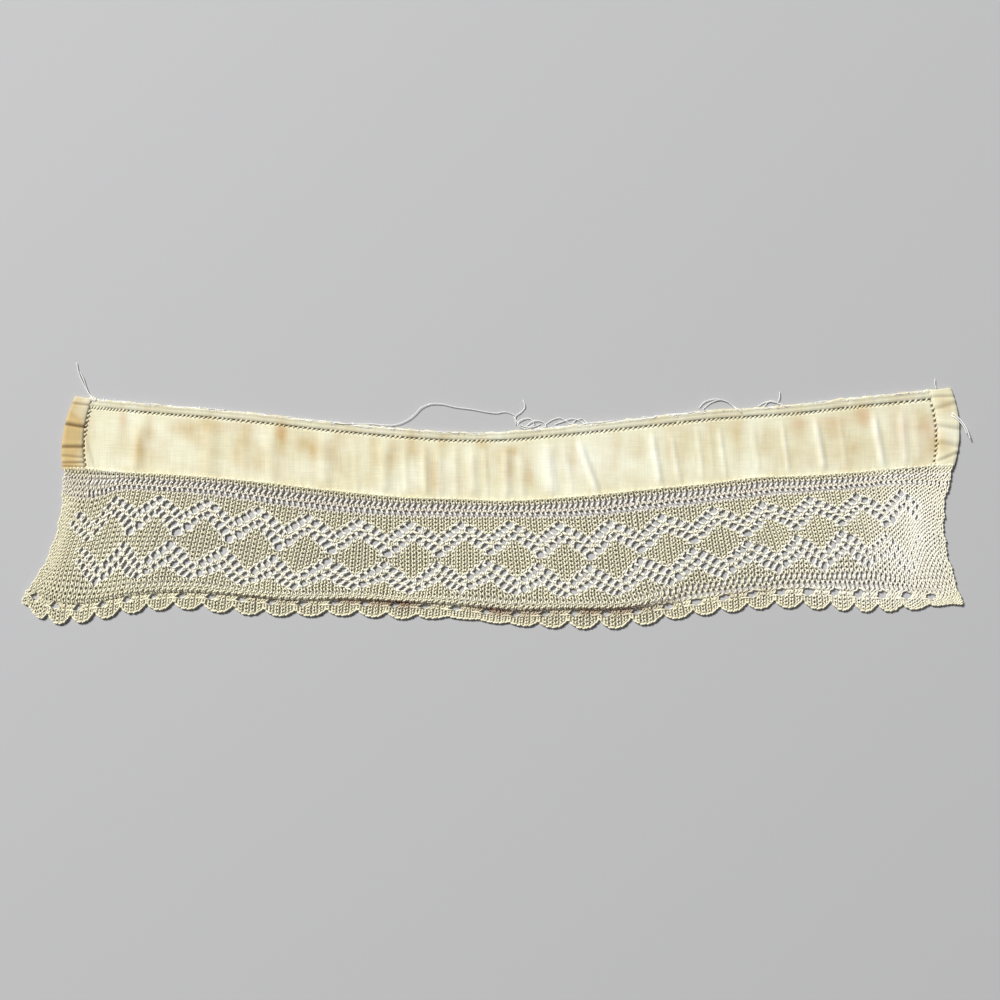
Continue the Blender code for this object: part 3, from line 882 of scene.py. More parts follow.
def slot_holes(rng):
    """The slot of each scallop."""
    holes = []
    for k in range(SLOT_COUNT):
        row = FIRST_SLOT_ROW + SCALLOP_ROWS * k
        flat = float(smooth_step(row, RIDGE_FULL_ROW, RIDGE_END_ROW))
        size = rng.uniform(0.86, 1.1) * (0.84 + 0.16 * flat)
        holes.append(Hole(row, SLOT_STITCH + SLOT_DROP * (1.0 - flat), SLOT_HALF_ROWS * size,
                          SLOT_HALF_STITCHES * (0.85 + 0.15 * flat), SLOT_LEAN, SLOT_REACH,
                          SLOT_ROUNDNESS))
    return holes


def lace_holes():
    """Every eyelet, ladder slit and scallop slot of the lace."""
    rng = np.random.default_rng(7)
    return eyelet_holes(rng) + ladder_holes(rng) + slot_holes(rng)


def open_holes(rows, stitches, holes):
    """How far each strand is pushed along the trim at each of its points, and how taut it is there."""
    shift = np.zeros((len(rows), len(stitches)))
    taut = np.zeros_like(shift)
    for hole in holes:
        js = np.flatnonzero(np.abs(rows - hole.row) < hole.reach)
        ks = np.flatnonzero(np.abs(stitches - hole.stitch) < hole.half_stitches)
        if not len(js) or not len(ks):
            continue
        down = (stitches[ks] - hole.stitch) / hole.half_stitches
        profile = (1.0 - np.abs(down) ** hole.roundness) ** (1.0 / hole.roundness)
        aside = rows[js] - hole.row
        side = np.where(aside < 0.0, -1.0, 1.0)
        give = 1.0 - np.abs(aside) / hole.reach
        push = side[:, None] * hole.half_rows + (hole.lean * down)[None, :]
        shift[np.ix_(js, ks)] += give[:, None] * profile[None, :] * push
        felt = give[:, None] ** 0.5 * profile[None, :] * min(1.0, hole.half_rows / 0.3)
        taut[np.ix_(js, ks)] = np.maximum(taut[np.ix_(js, ks)], felt)
    return shift, taut


def ridge_shape(rows, stitches):
    """Share of the ridge's height at each place, and how far the roll leans down over its crease."""
    rolled = 1.0 - smooth_step(rows, RIDGE_FULL_ROW, RIDGE_END_ROW)
    rolled = rolled * (RIDGE_LOW_SHARE + (1.0 - RIDGE_LOW_SHARE) * smooth_step(rows, *RIDGE_GROWS))
    share = rolled * plateau(stitches, RIDGE_START, RIDGE_CREST, RIDGE_BROW, RIDGE_FOOT)
    return share, share * RIDGE_LEAN


def yarn_loops(lace, rows, stitches, shift, taut):
    """The loops: each point's place in row pairs, how far it is moved down its row, and its height."""
    rng = np.random.default_rng(11)
    count, points = rows.shape
    purl = np.where(np.arange(count) % 2 == 0, 1.0, -1.0)[:, None]
    offset = rng.normal(0.0, LOOP_OFFSET, count // 2 + 2)
    offset = np.repeat(np.convolve(offset, [0.3, 0.4, 0.3], "valid"), 2)
    turn = 2.0 * math.pi * (stitches + offset[:, None]) + 0.5 * math.pi * (1.0 - purl)
    uneven = rng.normal(0.0, ROW_UNEVEN, (count, 1)) + rng.normal(0.0, POINT_UNEVEN, (count, points))
    tension = rng.normal(0.0, 1.0, (count, int(EDGE_STITCH) + 1))
    loose = 1.0 + LOOP_UNEVEN * np.repeat(tension, lace.steps, 1)[:, :points]
    loop_rows = lace.loop_reach * (1.0 - TAUT_REACH * taut) * loose * np.cos(turn)
    swing = lace.loop_swing * np.sin(2.0 * turn) * (1.0 - TAUT_SWING * taut)
    loop_stitches = swing + lace.loop_slant * loop_rows
    gather = -0.5 * lace.ridge_gather * purl * (1.0 - taut)
    # In the drawn-in ends the knit lies flat and even, with no line of bumps along the trim
    flat_end = 1.0 - smooth_step(rows, *LEFT_FLAT_ROWS) + smooth_step(rows, *RIGHT_FLAT_ROWS)
    even = FLAT_SHARE + FLATTER_ENDS * flat_end
    depth = lace.loop_depth * ((1.0 - even) * purl * np.cos(turn) + 0.75 * even * np.cos(2.0 * turn))
    depth = depth * (1.0 - TAUT_DEPTH * taut)
    return rows + shift + loop_rows + uneven + gather, loop_stitches, depth


def knit_strands(lace):
    """Path of every knitted row, as an array of strands by points, with what its marks need."""
    count = int(round(2 * (LAST_ROW - FIRST_ROW)))
    rows = FIRST_ROW + 0.25 + 0.5 * np.arange(count)
    stitches = np.arange(int(EDGE_STITCH) * lace.steps + 1) / lace.steps
    shift, taut = open_holes(rows, stitches, lace_holes())
    row_grid = np.broadcast_to(rows[:, None], shift.shape)
    stitch_grid = np.broadcast_to(stitches[None, :], shift.shape)
    chart_rows, loop_stitches, depth = yarn_loops(lace, row_grid, stitch_grid, shift, taut)
    # The two ends of the lace wander and slip, because nothing holds their stitches straight
    left_end = 1.0 - smooth_step(row_grid, FIRST_ROW, FIRST_ROW + 5.0)
    right_end = smooth_step(row_grid, LAST_ROW - 4.0, LAST_ROW)
    wander = 0.32 * np.sin(stitch_grid * 0.95 + 0.6) + 0.22 * np.sin(stitch_grid * 2.1)
    slip = np.sin(row_grid * 4.1 + 1.7 * np.sin(stitch_grid * 0.9)) * smooth_step(stitch_grid, 0.5, 2.0)
    slip = slip * (1.0 - smooth_step(stitch_grid, 30.5, 32.0))
    slip = slip * (0.10 + 0.25 * (left_end + 0.6 * right_end))
    ridge, lean = ridge_shape(row_grid, stitch_grid)
    chart_rows = chart_rows + wander * (left_end - 0.6 * right_end)
    chart_rows = chart_rows + 0.5 * ridge * (ROLL_MIDDLE - stitch_grid)
    chart_rows = np.clip(chart_rows, FIRST_ROW - 0.35, LAST_ROW + 0.3)
    chart_stitches = stitch_grid + loop_stitches + lean + slip - 0.25 * (stitch_grid < 0.01)
    chart_stitches = np.clip(chart_stitches, -0.5, EDGE_STITCH + 0.1)
    x, y = lace_points(chart_rows.ravel(), chart_stitches.ravel())
    x, y = x.reshape(shift.shape), y.reshape(shift.shape)
    curl = END_CURL * (left_end ** 3 + right_end ** 3) * (0.6 + 0.4 * ripple(x, y, 2.7))
    wave = SLOW_WAVE * ripple(x, y, 0.4)
    over_cloth = OVER_CLOTH * (1.0 - smooth_step(stitch_grid, 0.2, 1.3))
    height = lace.lie_height + depth + lace.ridge_height * ridge + curl + wave + over_cloth
    # Painted shade: the lower a point of a loop lies, the darker it is painted, less so where holes pull
    # the yarn taut and in the flat right end
    low = 0.5 - 0.5 * depth / lace.loop_depth
    far = smooth_step(row_grid, *RIGHT_FLAT_ROWS)
    shade = (1.0 - TAUT_SHADE * taut) * (1.0 - FLAT_END_SHADE * far)
    return {
        "path": np.stack([x, y, height], axis=-1),
        "row": row_grid,
        "stitch": stitch_grid,
        "deep": np.clip(low ** SHADE_POWER * shade, 0.0, 1.0),
        "white": taut,
    }


def edge_chain(lace, first_row, last_row):
    """The slipped stitches along the scalloped edge, one chain link a row pair, with their marks."""
    rows = np.arange(first_row, last_row + 0.01, 1.0 / LINK_POINTS)
    link = np.cos(2.0 * math.pi * rows)
    x, y = lace_points(np.clip(rows, FIRST_ROW + 0.1, LAST_ROW - 0.1),
                       EDGE_STITCH - LINK_INSET + LINK_HALF * link)
    height = lace.lie_height + 0.12 * MM * np.sin(2.0 * math.pi * rows)
    marks = {k: np.zeros(len(rows)) for k in ("grey", "rust", "white")}
    marks["tan"] = np.clip(patch_amount(x, y, TAN_PATCHES) * 0.7 + 0.12, 0.0, 1.0)
    # Painted shade on the inner half of each chain link, next to the knit
    marks["deep"] = 0.3 - 0.3 * link
    return np.stack([x, y, height], axis=-1), marks


def yarn_marks(knit, x, y):
    """Grey of the ladders, rust of the crease and tan of the aged places, for each point of the yarn."""
    row, stitch = knit["row"].ravel(), knit["stitch"].ravel()
    upper = plateau(stitch, *UPPER_GREY)
    far = smooth_step(row, *RIGHT_FLAT_ROWS)
    flat = smooth_step(row, RIDGE_FULL_ROW, RIDGE_END_ROW)
    lower = plateau(stitch, *LOWER_GREY) * flat
    crease = 0.85 * np.exp(-((stitch - CREASE_STITCH) / 0.8) ** 2)
    crease = crease + 0.5 * np.exp(-((stitch - BELOW_CREASE) / 1.3) ** 2)
    round_eyelets = 1.0 - smooth_step(stitch, *WASHED_TO)
    rust = np.zeros_like(x)
    for run in RUST_RUNS:
        inside = plateau(x / MM, run.from_x - RUST_FADE, run.from_x + RUST_FADE,
                         run.to_x - RUST_FADE, run.to_x + RUST_FADE)
        rust = np.maximum(rust, inside * run.strength)
    white = round_eyelets * knit["white"].ravel() + patch_amount(x, y, PALE_PATCHES)
    tan = patch_amount(x, y, TAN_PATCHES) * 0.7 + 0.12 + 0.12 * ripple(x, y, 2.0)
    return {
        "grey": np.clip((0.8 - 0.45 * far) * upper + 0.3 * lower, 0.0, 1.0),
        "rust": np.clip(rust * crease * (0.75 + 0.4 * ripple(x, y, 1.1)), 0.0, 1.0),
        "tan": np.clip(tan, 0.0, 1.0),
        "deep": knit["deep"].ravel(),
        "white": np.clip(white, 0.0, 1.0),
    }


def add_node(tree, kind, inputs, **settings):
    """Adds a node with its settings; each input is a value, or a socket that it is linked from."""
    node = tree.nodes.new(kind)
    for name, value in settings.items():
        setattr(node, name, value)
    for name, value in inputs.items():
        if isinstance(value, bpy.types.NodeSocket):
            tree.links.new(value, node.inputs[name])
        else:
            node.inputs[name].default_value = value
    return node


def start_material(name):
    """A new material with an empty node tree, and that tree."""
    material = bpy.data.materials.new(name)
    material.use_nodes = True
    material.node_tree.nodes.clear()
    return material, material.node_tree


def rgba(colour):
    """A colour with full opacity, as a node takes it."""
    return (*colour[:3], 1.0)


def knitting_cotton(colours):
    """Unbleached knitting cotton: two plies twisted together, matt, with painted shade between loops."""
    material, tree = start_material("knitting_cotton")
    place = add_node(tree, "ShaderNodeTexCoord", {}).outputs["Object"]
    # Slow mottling of hand-washed cotton, patches of about 9 mm
    mottle = add_node(tree, "ShaderNodeTexNoise", {"Vector": place, "Scale": 110.0, "Detail": 3.0})
    # Specks of about 0.6 mm: nubs and single darker fibres
    speck = add_node(tree, "ShaderNodeTexNoise", {"Vector": place, "Scale": 1700.0, "Detail": 1.0})
    marks = {
        name: add_node(tree, "ShaderNodeAttribute", {}, attribute_name=name).outputs["Fac"]
        for name in ("deep", "grey", "rust", "tan", "white")
    }
    warm = add_node(tree, "ShaderNodeMapRange", {
        "Value": mottle.outputs[0], "From Min": 0.35, "From Max": 0.7, "To Min": 0.0, "To Max": 0.35})
    tan_amount = add_node(tree, "ShaderNodeMath", {0: marks["tan"], 1: warm.outputs[0]}, operation="ADD")
    tan_share = add_node(tree, "ShaderNodeMath", {0: tan_amount.outputs[0], 1: 0.24}, operation="MULTIPLY")
    grey = add_node(tree, "ShaderNodeMath", {0: marks["grey"], 1: 0.7}, operation="MULTIPLY")
    # Painted shade: darkens the low parts of the loops
    deep = add_node(tree, "ShaderNodeMath", {0: marks["deep"], 1: 0.66}, operation="MULTIPLY")
    # Washed thread first, then what use and age laid over it; the fourth layer is painted shade between the
    # stitches
    colour = rgba(colours.yarn)
    for amount, layer in (
        (marks["white"], colours.yarn_white),
        (tan_share.outputs[0], colours.tan),
        (grey.outputs[0], colours.yarn_grey),
        (deep.outputs[0], colours.yarn_painted_shade),
        (marks["rust"], colours.rust),
    ):
        mix = add_node(tree, "ShaderNodeMix", {0: amount, 6: colour, 7: rgba(layer)}, data_type="RGBA")
        colour = mix.outputs[2]
    dark = add_node(tree, "ShaderNodeMapRange", {
        "Value": speck.outputs[0], "From Min": 0.3, "From Max": 0.7, "To Min": 0.88, "To Max": 1.08})
    colour = add_node(tree, "ShaderNodeVectorMath", {0: colour, "Scale": dark.outputs[0]},
                      operation="SCALE").outputs[0]
    # The twist of the plies: one turn in 1.1 mm along the yarn's own map
    along = add_node(tree, "ShaderNodeUVMap", {}, uv_map="along").outputs[0]
    parts = add_node(tree, "ShaderNodeSeparateXYZ", {0: along})
    length = add_node(tree, "ShaderNodeMath", {0: parts.outputs[0], 1: 1.0 / (1.1 * MM)},
                      operation="MULTIPLY").outputs[0]
    spiral = add_node(tree, "ShaderNodeMath", {0: length, 1: parts.outputs[1]}, operation="ADD").outputs[0]
    wave = add_node(tree, "ShaderNodeMath", {0: spiral, 1: 4.0 * math.pi}, operation="MULTIPLY").outputs[0]
    twist = add_node(tree, "ShaderNodeMath", {0: wave}, operation="SINE").outputs[0]
    bump = add_node(tree, "ShaderNodeBump", {"Height": twist, "Strength": 0.45, "Distance": 0.05 * MM})
    shader = add_node(tree, "ShaderNodeBsdfPrincipled", {
        "Base Color": colour, "Normal": bump.outputs[0], "Roughness": 0.88, "IOR": 1.53,
        "Specular IOR Level": 0.25, "Sheen Weight": 0.12, "Sheen Roughness": 0.6})
    add_node(tree, "ShaderNodeOutputMaterial", {"Surface": shader.outputs[0]})
    return material


def plain_cotton(colours, name, greyer):
    """Fine plain-woven cotton, aged: cream with tan and pinkish marks, slubs and a fine weave."""
    material, tree = start_material(name)
    along = add_node(tree, "ShaderNodeUVMap", {}, uv_map="along").outputs[0]
    place = add_node(tree, "ShaderNodeTexCoord", {}).outputs["Object"]
    # Slubs: thicker weft threads, streaks 9 mm long and 0.4 mm wide, and fainter ones of the warp
    weft = add_node(tree, "ShaderNodeMapping", {"Vector": along, "Scale": (110.0, 2700.0, 1.0)})
    warp = add_node(tree, "ShaderNodeMapping", {"Vector": along, "Scale": (2300.0, 80.0, 1.0)})
    weft_slub = add_node(tree, "ShaderNodeTexNoise", {
        "Vector": weft.outputs[0], "Scale": 1.0, "Detail": 2.0})
    warp_slub = add_node(tree, "ShaderNodeTexNoise", {
        "Vector": warp.outputs[0], "Scale": 1.0, "Detail": 2.0})
    # Slow yellowing in clouds of about 15 mm
    cloud = add_node(tree, "ShaderNodeTexNoise", {"Vector": place, "Scale": 70.0, "Detail": 4.0})
    marks = {
        name: add_node(tree, "ShaderNodeAttribute", {}, attribute_name=name).outputs["Fac"]
        for name in ("tan", "rose", "pale", "crease")
    }
    patchy = add_node(tree, "ShaderNodeMapRange", {
        "Value": cloud.outputs[0], "From Min": 0.3, "From Max": 0.72, "To Min": 0.75, "To Max": 1.15})
    tan_uneven = add_node(tree, "ShaderNodeMath", {0: marks["tan"], 1: patchy.outputs[0]},
                          operation="MULTIPLY")
    yellow = add_node(tree, "ShaderNodeMapRange", {
        "Value": cloud.outputs[0], "From Min": 0.40, "From Max": 0.75, "To Min": 0.0, "To Max": 0.42})
    tan_all = add_node(tree, "ShaderNodeMath", {0: tan_uneven.outputs[0], 1: yellow.outputs[0]},
                       operation="ADD")
    base = tuple((c * (1.0 - greyer) + 0.52 * greyer) * (1.0 - 0.7 * greyer) for c in colours.cloth)
    # Blotches of about 20 mm where the cloth stayed cleaner
    blotch = add_node(tree, "ShaderNodeTexNoise", {"Vector": place, "Scale": 48.0, "Detail": 3.0})
    cleaner = add_node(tree, "ShaderNodeMapRange", {
        "Value": blotch.outputs[0], "From Min": 0.45, "From Max": 0.75, "To Min": 0.0, "To Max": 0.8})
    pale_all = add_node(tree, "ShaderNodeMath", {0: marks["pale"], 1: cleaner.outputs[0]},
                        operation="MAXIMUM", use_clamp=True)
    # The clean colour also carries the painted highlight on the fold crests, and the crease colour the
    # painted shade in the side hems' creases
    colour = rgba(base)
    for amount, layer in (
        (pale_all.outputs[0], colours.cloth_pale),
        (tan_all.outputs[0], colours.tan),
        (marks["rose"], colours.rose),
        (marks["crease"], colours.crease),
    ):
        mix = add_node(tree, "ShaderNodeMix", {0: amount, 6: colour, 7: rgba(layer)}, data_type="RGBA")
        colour = mix.outputs[2]
    streak = add_node(tree, "ShaderNodeMath", {0: weft_slub.outputs[0], 1: warp_slub.outputs[0]},
                      operation="ADD")
    light = add_node(tree, "ShaderNodeMapRange", {
        "Value": streak.outputs[0], "From Min": 0.7, "From Max": 1.3, "To Min": 0.91, "To Max": 1.07})
    colour = add_node(tree, "ShaderNodeVectorMath", {0: colour, "Scale": light.outputs[0]},
                      operation="SCALE").outputs[0]
    # Weave of 2.2 threads a millimetre, coarser than the real 3, so that it shows at all
    parts = add_node(tree, "ShaderNodeSeparateXYZ", {0: along})
    threads = []
    for axis in (0, 1):
        angle = add_node(tree, "ShaderNodeMath", {0: parts.outputs[axis], 1: 2.0 * math.pi / (0.45 * MM)},
                         operation="MULTIPLY").outputs[0]
        threads.append(add_node(tree, "ShaderNodeMath", {0: angle}, operation="SINE").outputs[0])
    weave = add_node(tree, "ShaderNodeMath", {0: threads[0], 1: threads[1]}, operation="MULTIPLY")
    height = add_node(tree, "ShaderNodeMath", {0: weave.outputs[0], 1: 0.35, 2: streak.outputs[0]},
                      operation="MULTIPLY_ADD")
    bump = add_node(tree, "ShaderNodeBump", {
        "Height": height.outputs[0], "Strength": 0.35, "Distance": 0.09 * MM})
    shader = add_node(tree, "ShaderNodeBsdfPrincipled", {
        "Base Color": colour, "Normal": bump.outputs[0], "Roughness": 0.86, "IOR": 1.53,
        "Specular IOR Level": 0.28, "Sheen Weight": 0.10, "Sheen Roughness": 0.5})
    add_node(tree, "ShaderNodeOutputMaterial", {"Surface": shader.outputs[0]})
    return material


def sewing_cotton(colours):
    """White sewing thread, thin and a little glossy."""
    material, tree = start_material("sewing_cotton")
    place = add_node(tree, "ShaderNodeTexCoord", {}).outputs["Object"]
    age = add_node(tree, "ShaderNodeTexNoise", {"Vector": place, "Scale": 240.0, "Detail": 2.0})
    share = add_node(tree, "ShaderNodeMapRange", {
        "Value": age.outputs[0], "From Min": 0.4, "From Max": 0.7, "To Min": 0.0, "To Max": 0.12})
    mix = add_node(tree, "ShaderNodeMix", {
        0: share.outputs[0], 6: rgba(colours.sewing), 7: rgba(colours.cloth)}, data_type="RGBA")
    shader = add_node(tree, "ShaderNodeBsdfPrincipled", {
        "Base Color": mix.outputs[2], "Roughness": 0.65, "IOR": 1.53, "Specular IOR Level": 0.4})
    add_node(tree, "ShaderNodeOutputMaterial", {"Surface": shader.outputs[0]})
    return material


def material_of(name, make, *args):
    """The material of that name, made the first time that it is asked for."""
    found = bpy.data.materials.get(name)
    return found if found is not None else make(*args)


class TRIM_OT_knit_lace(Operator):
    """Knits the lace, row by row"""

    bl_idname = "trim.knit_lace"
    bl_label = "Knit the lace"

    def execute(self, context):
        settings = context.scene.trim_lace
        colours = context.scene.trim_colours
        cotton = material_of("knitting_cotton", knitting_cotton, colours)
        knit = knit_strands(settings)
        x, y = knit["path"][..., 0].ravel(), knit["path"][..., 1].ravel()
        marks = {k: v.reshape(knit["row"].shape) for k, v in yarn_marks(knit, x, y).items()}
        strands = len(knit["path"])
        borders = np.linspace(0, strands, settings.pieces + 1).round().astype(int)
        for n, (first, stop) in enumerate(zip(borders, borders[1:])):
            path, spread = [], {k: [] for k in marks}
            # One yarn goes down a row and back up the next
            for j in range(first, stop):
                step = 1 if j % 2 == 0 else -1
                path.append(knit["path"][j][::step])
                for k in marks:
                    spread[k].append(marks[k][j][::step])
            edge, edge_marks = edge_chain(settings, FIRST_ROW + 0.5 * first, FIRST_ROW + 0.5 * stop)
            paths = [np.concatenate(path), edge]
            spread = {k: np.concatenate([*v, edge_marks[k]]) for k, v in spread.items()}
            half = settings.yarn_width / 2.0
            taut_yarn = half * (1.0 + 0.18 * spread["white"][:len(paths[0])])
            edge_yarn = half * (1.0 + 0.25 * (edge_marks["deep"] < 0.3))
            radii = [taut_yarn, edge_yarn]
            piece = make_tubes(f"lace_knit_{n + 1}", paths, radii, settings.sides, spread)
            piece.data.materials.append(cotton)
            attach(piece, "root")
            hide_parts("lace")
        return {"FINISHED"}


def cloth_sheet(name, rows, shares, height_of, marks_of, thickness):
    """A sheet over a grid of rows and shares of the band, given its thickness by Solidify."""
    row_grid, share_grid = np.meshgrid(rows, shares, indexing="ij")
    x, y = band_points(row_grid.ravel(), share_grid.ravel())
    z = height_of(x, share_grid.ravel(), row_grid.ravel())
    quads = grid_quads(len(rows), len(shares))
    uv = np.stack([x, y], axis=-1)[quads.ravel()]
    obj = make_mesh(name, np.stack([x, y, z], axis=-1), quads, uv, marks_of(x, y, share_grid.ravel()))
    thicken(obj, thickness, -1.0)
    return obj


def cloth_marks(x, y):
    """Tan, pinkish and clean places of the cloth, for each point."""
    return {
        "tan": np.clip(patch_amount(x, y, TAN_PATCHES), 0.0, 1.0),
        "rose": np.clip(patch_amount(x, y, ROSE_PATCHES), 0.0, 1.0),
        "pale": np.clip(patch_amount(x, y, PALE_PATCHES), 0.0, 1.0),
    }


class TRIM_OT_cloth_band(Operator):
    """Lays the cloth of the band between its hems, with its puckers"""

    bl_idname = "trim.cloth_band"
    bl_label = "Lay the cloth band"

    def execute(self, context):
        band = context.scene.trim_band
        cotton = material_of("plain_cotton", plain_cotton, context.scene.trim_colours, "plain_cotton", 0.0)
        across = int(round((RIGHT_HEM_ROW - LEFT_HEM_ROW) * CLOTH_ROW_WIDTH / band.grid_step))
        rows = np.linspace(LEFT_HEM_ROW + SIDE_LINE_ROWS, RIGHT_HEM_ROW - SIDE_LINE_ROWS, across)
        shares = np.linspace(CLOTH_TUCK, HEM_LINE_LOW, 30)

        def height(x, share, row):
            gather = GATHER_HEIGHT * np.sin(x / GATHER_LENGTH) * np.exp(-np.clip(share, 0.0, 1.0) / 0.06)
            near_side = np.minimum(row - LEFT_HEM_ROW, RIGHT_HEM_ROW - row)
            fold = FOLD_SHARE * pucker_height(x, share) * smooth_step(near_side, 0.3, 3.0)
            wave = 0.05 * MM * ripple(x, share * 30.0 * MM, 0.9)
            corner = smooth_step(FLAP_X + FLAP_SLOPE * (0.5 - share) - x / MM, -0.35, 0.45)
            flap = FLAP_HEIGHT * corner * (1.0 - smooth_step(share, 0.42, 0.56))
            return CLOTH_LIE + fold + gather + wave + flap

        def marks(x, y, share):
            marks_and_highlight = cloth_marks(x, y)
            # Painted highlight: the crests of the folds, from the middle of the band rightwards, get the
            # clean colour and less tan
            crest_highlight = np.clip(pucker_height(x, share) / (0.75 * MM), 0.0, 1.0)
            crest_highlight = crest_highlight * smooth_step(x / MM, -60.0, 40.0)
            marks_and_highlight["pale"] = np.clip(marks_and_highlight["pale"] + crest_highlight, 0.0, 1.0)
            marks_and_highlight["tan"] = marks_and_highlight["tan"] * (1.0 - 0.6 * crest_highlight)
            return marks_and_highlight

        cloth = cloth_sheet("band_cloth", rows, shares, height, marks, band.cloth_thick)
        cloth.data.materials.append(cotton)
        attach(cloth, "root")
        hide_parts("band")
        return {"FINISHED"}


def folded_strip(inner, outer, normal_shift, low, high, turns):
    """Layers of a strip folded double, each a place and a height: out over the top, and back below."""
    layers = []
    for k in range(turns + 1):
        share = k / turns
        layers.append((inner + (outer - inner) * share, high))
    for k in range(1, 4):
        angle = math.pi * k / 4.0
        z = (high + low) / 2.0 + (high - low) / 2.0 * math.cos(angle)
        layers.append((outer + normal_shift * math.sin(angle), z))
    for k in range(turns + 1):
        share = 1.0 - k / turns
        layers.append((inner + (outer - inner) * share, low))
    return layers


def heading_grid(high, low):
    """Points of the folded heading, layer by layer, and the dirt on it."""
    rows = np.linspace(LEFT_HEM_ROW - 1.2, RIGHT_HEM_ROW + 1.2, 520)
    rng = np.random.default_rng(5)
    rough = np.convolve(rng.normal(0.0, 1.0, len(rows) + 8), np.ones(3) / 3.0, "same")[4:-4]
    grid, dirt_and_shade = [], []
    for share, z in folded_strip(HEM_LINE_HIGH, HEADING_EDGE, 0.010, low, high - 0.15 * MM, 6):
        lift = smooth_step(share, HEM_LINE_HIGH + 0.04, 1.0)
        shares = np.full(len(rows), share) + rough * 0.012 * lift
        shares = shares + 0.010 * lift * np.sin(rows * 0.83) * np.sin(rows * 0.31 + 1.0)
        x, y = band_points(rows, shares)
        upper = 1.0 if z > 0.7 * MM else 0.2
        seam = -0.22 * MM * math.exp(-((share - 0.945) / 0.016) ** 2)
        seam -= 0.42 * MM * float(1.0 - smooth_step(share, HEM_LINE_HIGH, HEM_LINE_HIGH + 0.045))
        wave = 0.13 * MM * ripple(x * 1.6, y, 3.3) + 0.06 * MM * rough
        grid.append(np.stack([x, y, z + (wave + seam) * upper], axis=-1))
        dirt_and_shade.append(np.clip(upper * (0.05 * np.abs(rough) + 0.05 * ripple(x, y, 5.1)), 0.0, 1.0))
    return np.array(grid), np.array(dirt_and_shade)


def side_hem_grid(hem, high, low):
    """Points of a folded side hem, layer by layer, and the painted shade in its creases."""
    shares = np.linspace(-0.02, 0.992, 76)
    grid, dirt_and_shade = [], []
    for row, z in folded_strip(hem.inner, hem.outer, hem.rim, low, high, 7):
        x, y = band_points(np.full(len(shares), row), shares)
        puff, crease_shade = np.zeros(len(shares)), np.zeros(len(shares))
        for c in hem.creases:
            away = (shares - c.share - c.slope * (row - hem.inner)) / c.half_width
            puff += c.depth * MM * (0.6 * np.exp(-((away - 1.9) / 1.3) ** 2) - np.exp(-away ** 2))
            # Painted shade along each crease, darker where the crease is deeper
            crease_shade += 2.2 * c.depth * np.exp(-(away / 0.8) ** 2)
        top_layer = 1.0 if z > 0.8 * MM else 0.0
        sink = 0.48 * MM * float(1.0 - smooth_step(abs(row - hem.inner), 0.0, 1.2))
        grid.append(np.stack([x, y, z + (puff - sink) * top_layer], axis=-1))
        dirt_and_shade.append(np.clip(crease_shade, 0.0, 1.0) * hem.dirt_and_shade)
    # The right hem goes outwards the other way along the trim, so its layers are turned round to face out
    turned = slice(None, None, -1 if hem.outer > hem.inner else 1)
    return np.array(grid)[turned], np.array(dirt_and_shade)[turned]


class TRIM_OT_turned_hems(Operator):
    """Folds the heading and the two side hems"""

    bl_idname = "trim.turned_hems"
    bl_label = "Fold the hems"

    def execute(self, context):
        band = context.scene.trim_band
        colours = context.scene.trim_colours
        heading = material_of("heading_cotton", plain_cotton, colours, "heading_cotton", 0.09)
        side = material_of("hem_cotton", plain_cotton, colours, "hem_cotton", 0.0)
        grid, dirt_and_shade = heading_grid(band.hem_thick, UNDER_LAYER)
        top = self.strip("band_heading", grid, band.cloth_thick, heading, dirt_and_shade)
        for hem in SIDE_HEMS:
            grid, dirt_and_shade = side_hem_grid(hem, band.hem_thick, UNDER_LAYER)
            piece = self.strip(hem.name, grid, band.cloth_thick, side, dirt_and_shade)
        return {"FINISHED"}

    def strip(self, name, grid, thickness, material, crease):
        """One folded hem from its grid of points, with its thickness, material and place in the frame."""
        # A strip's grid goes across the hem before it goes along, so its quads turn the other way round
        quads = grid_quads(*grid.shape[:2])[:, [0, 3, 2, 1]]
        points = grid.reshape(-1, 3)
        uv = points[:, :2][quads.ravel()]
        marks = cloth_marks(points[:, 0], points[:, 1])
        obj = make_mesh(name, points, quads, uv, {**marks, "crease": crease.ravel()})
        thicken(obj, thickness, 0.0)
        obj.data.materials.append(material)
        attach(obj, "root")
        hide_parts("band")
        return obj


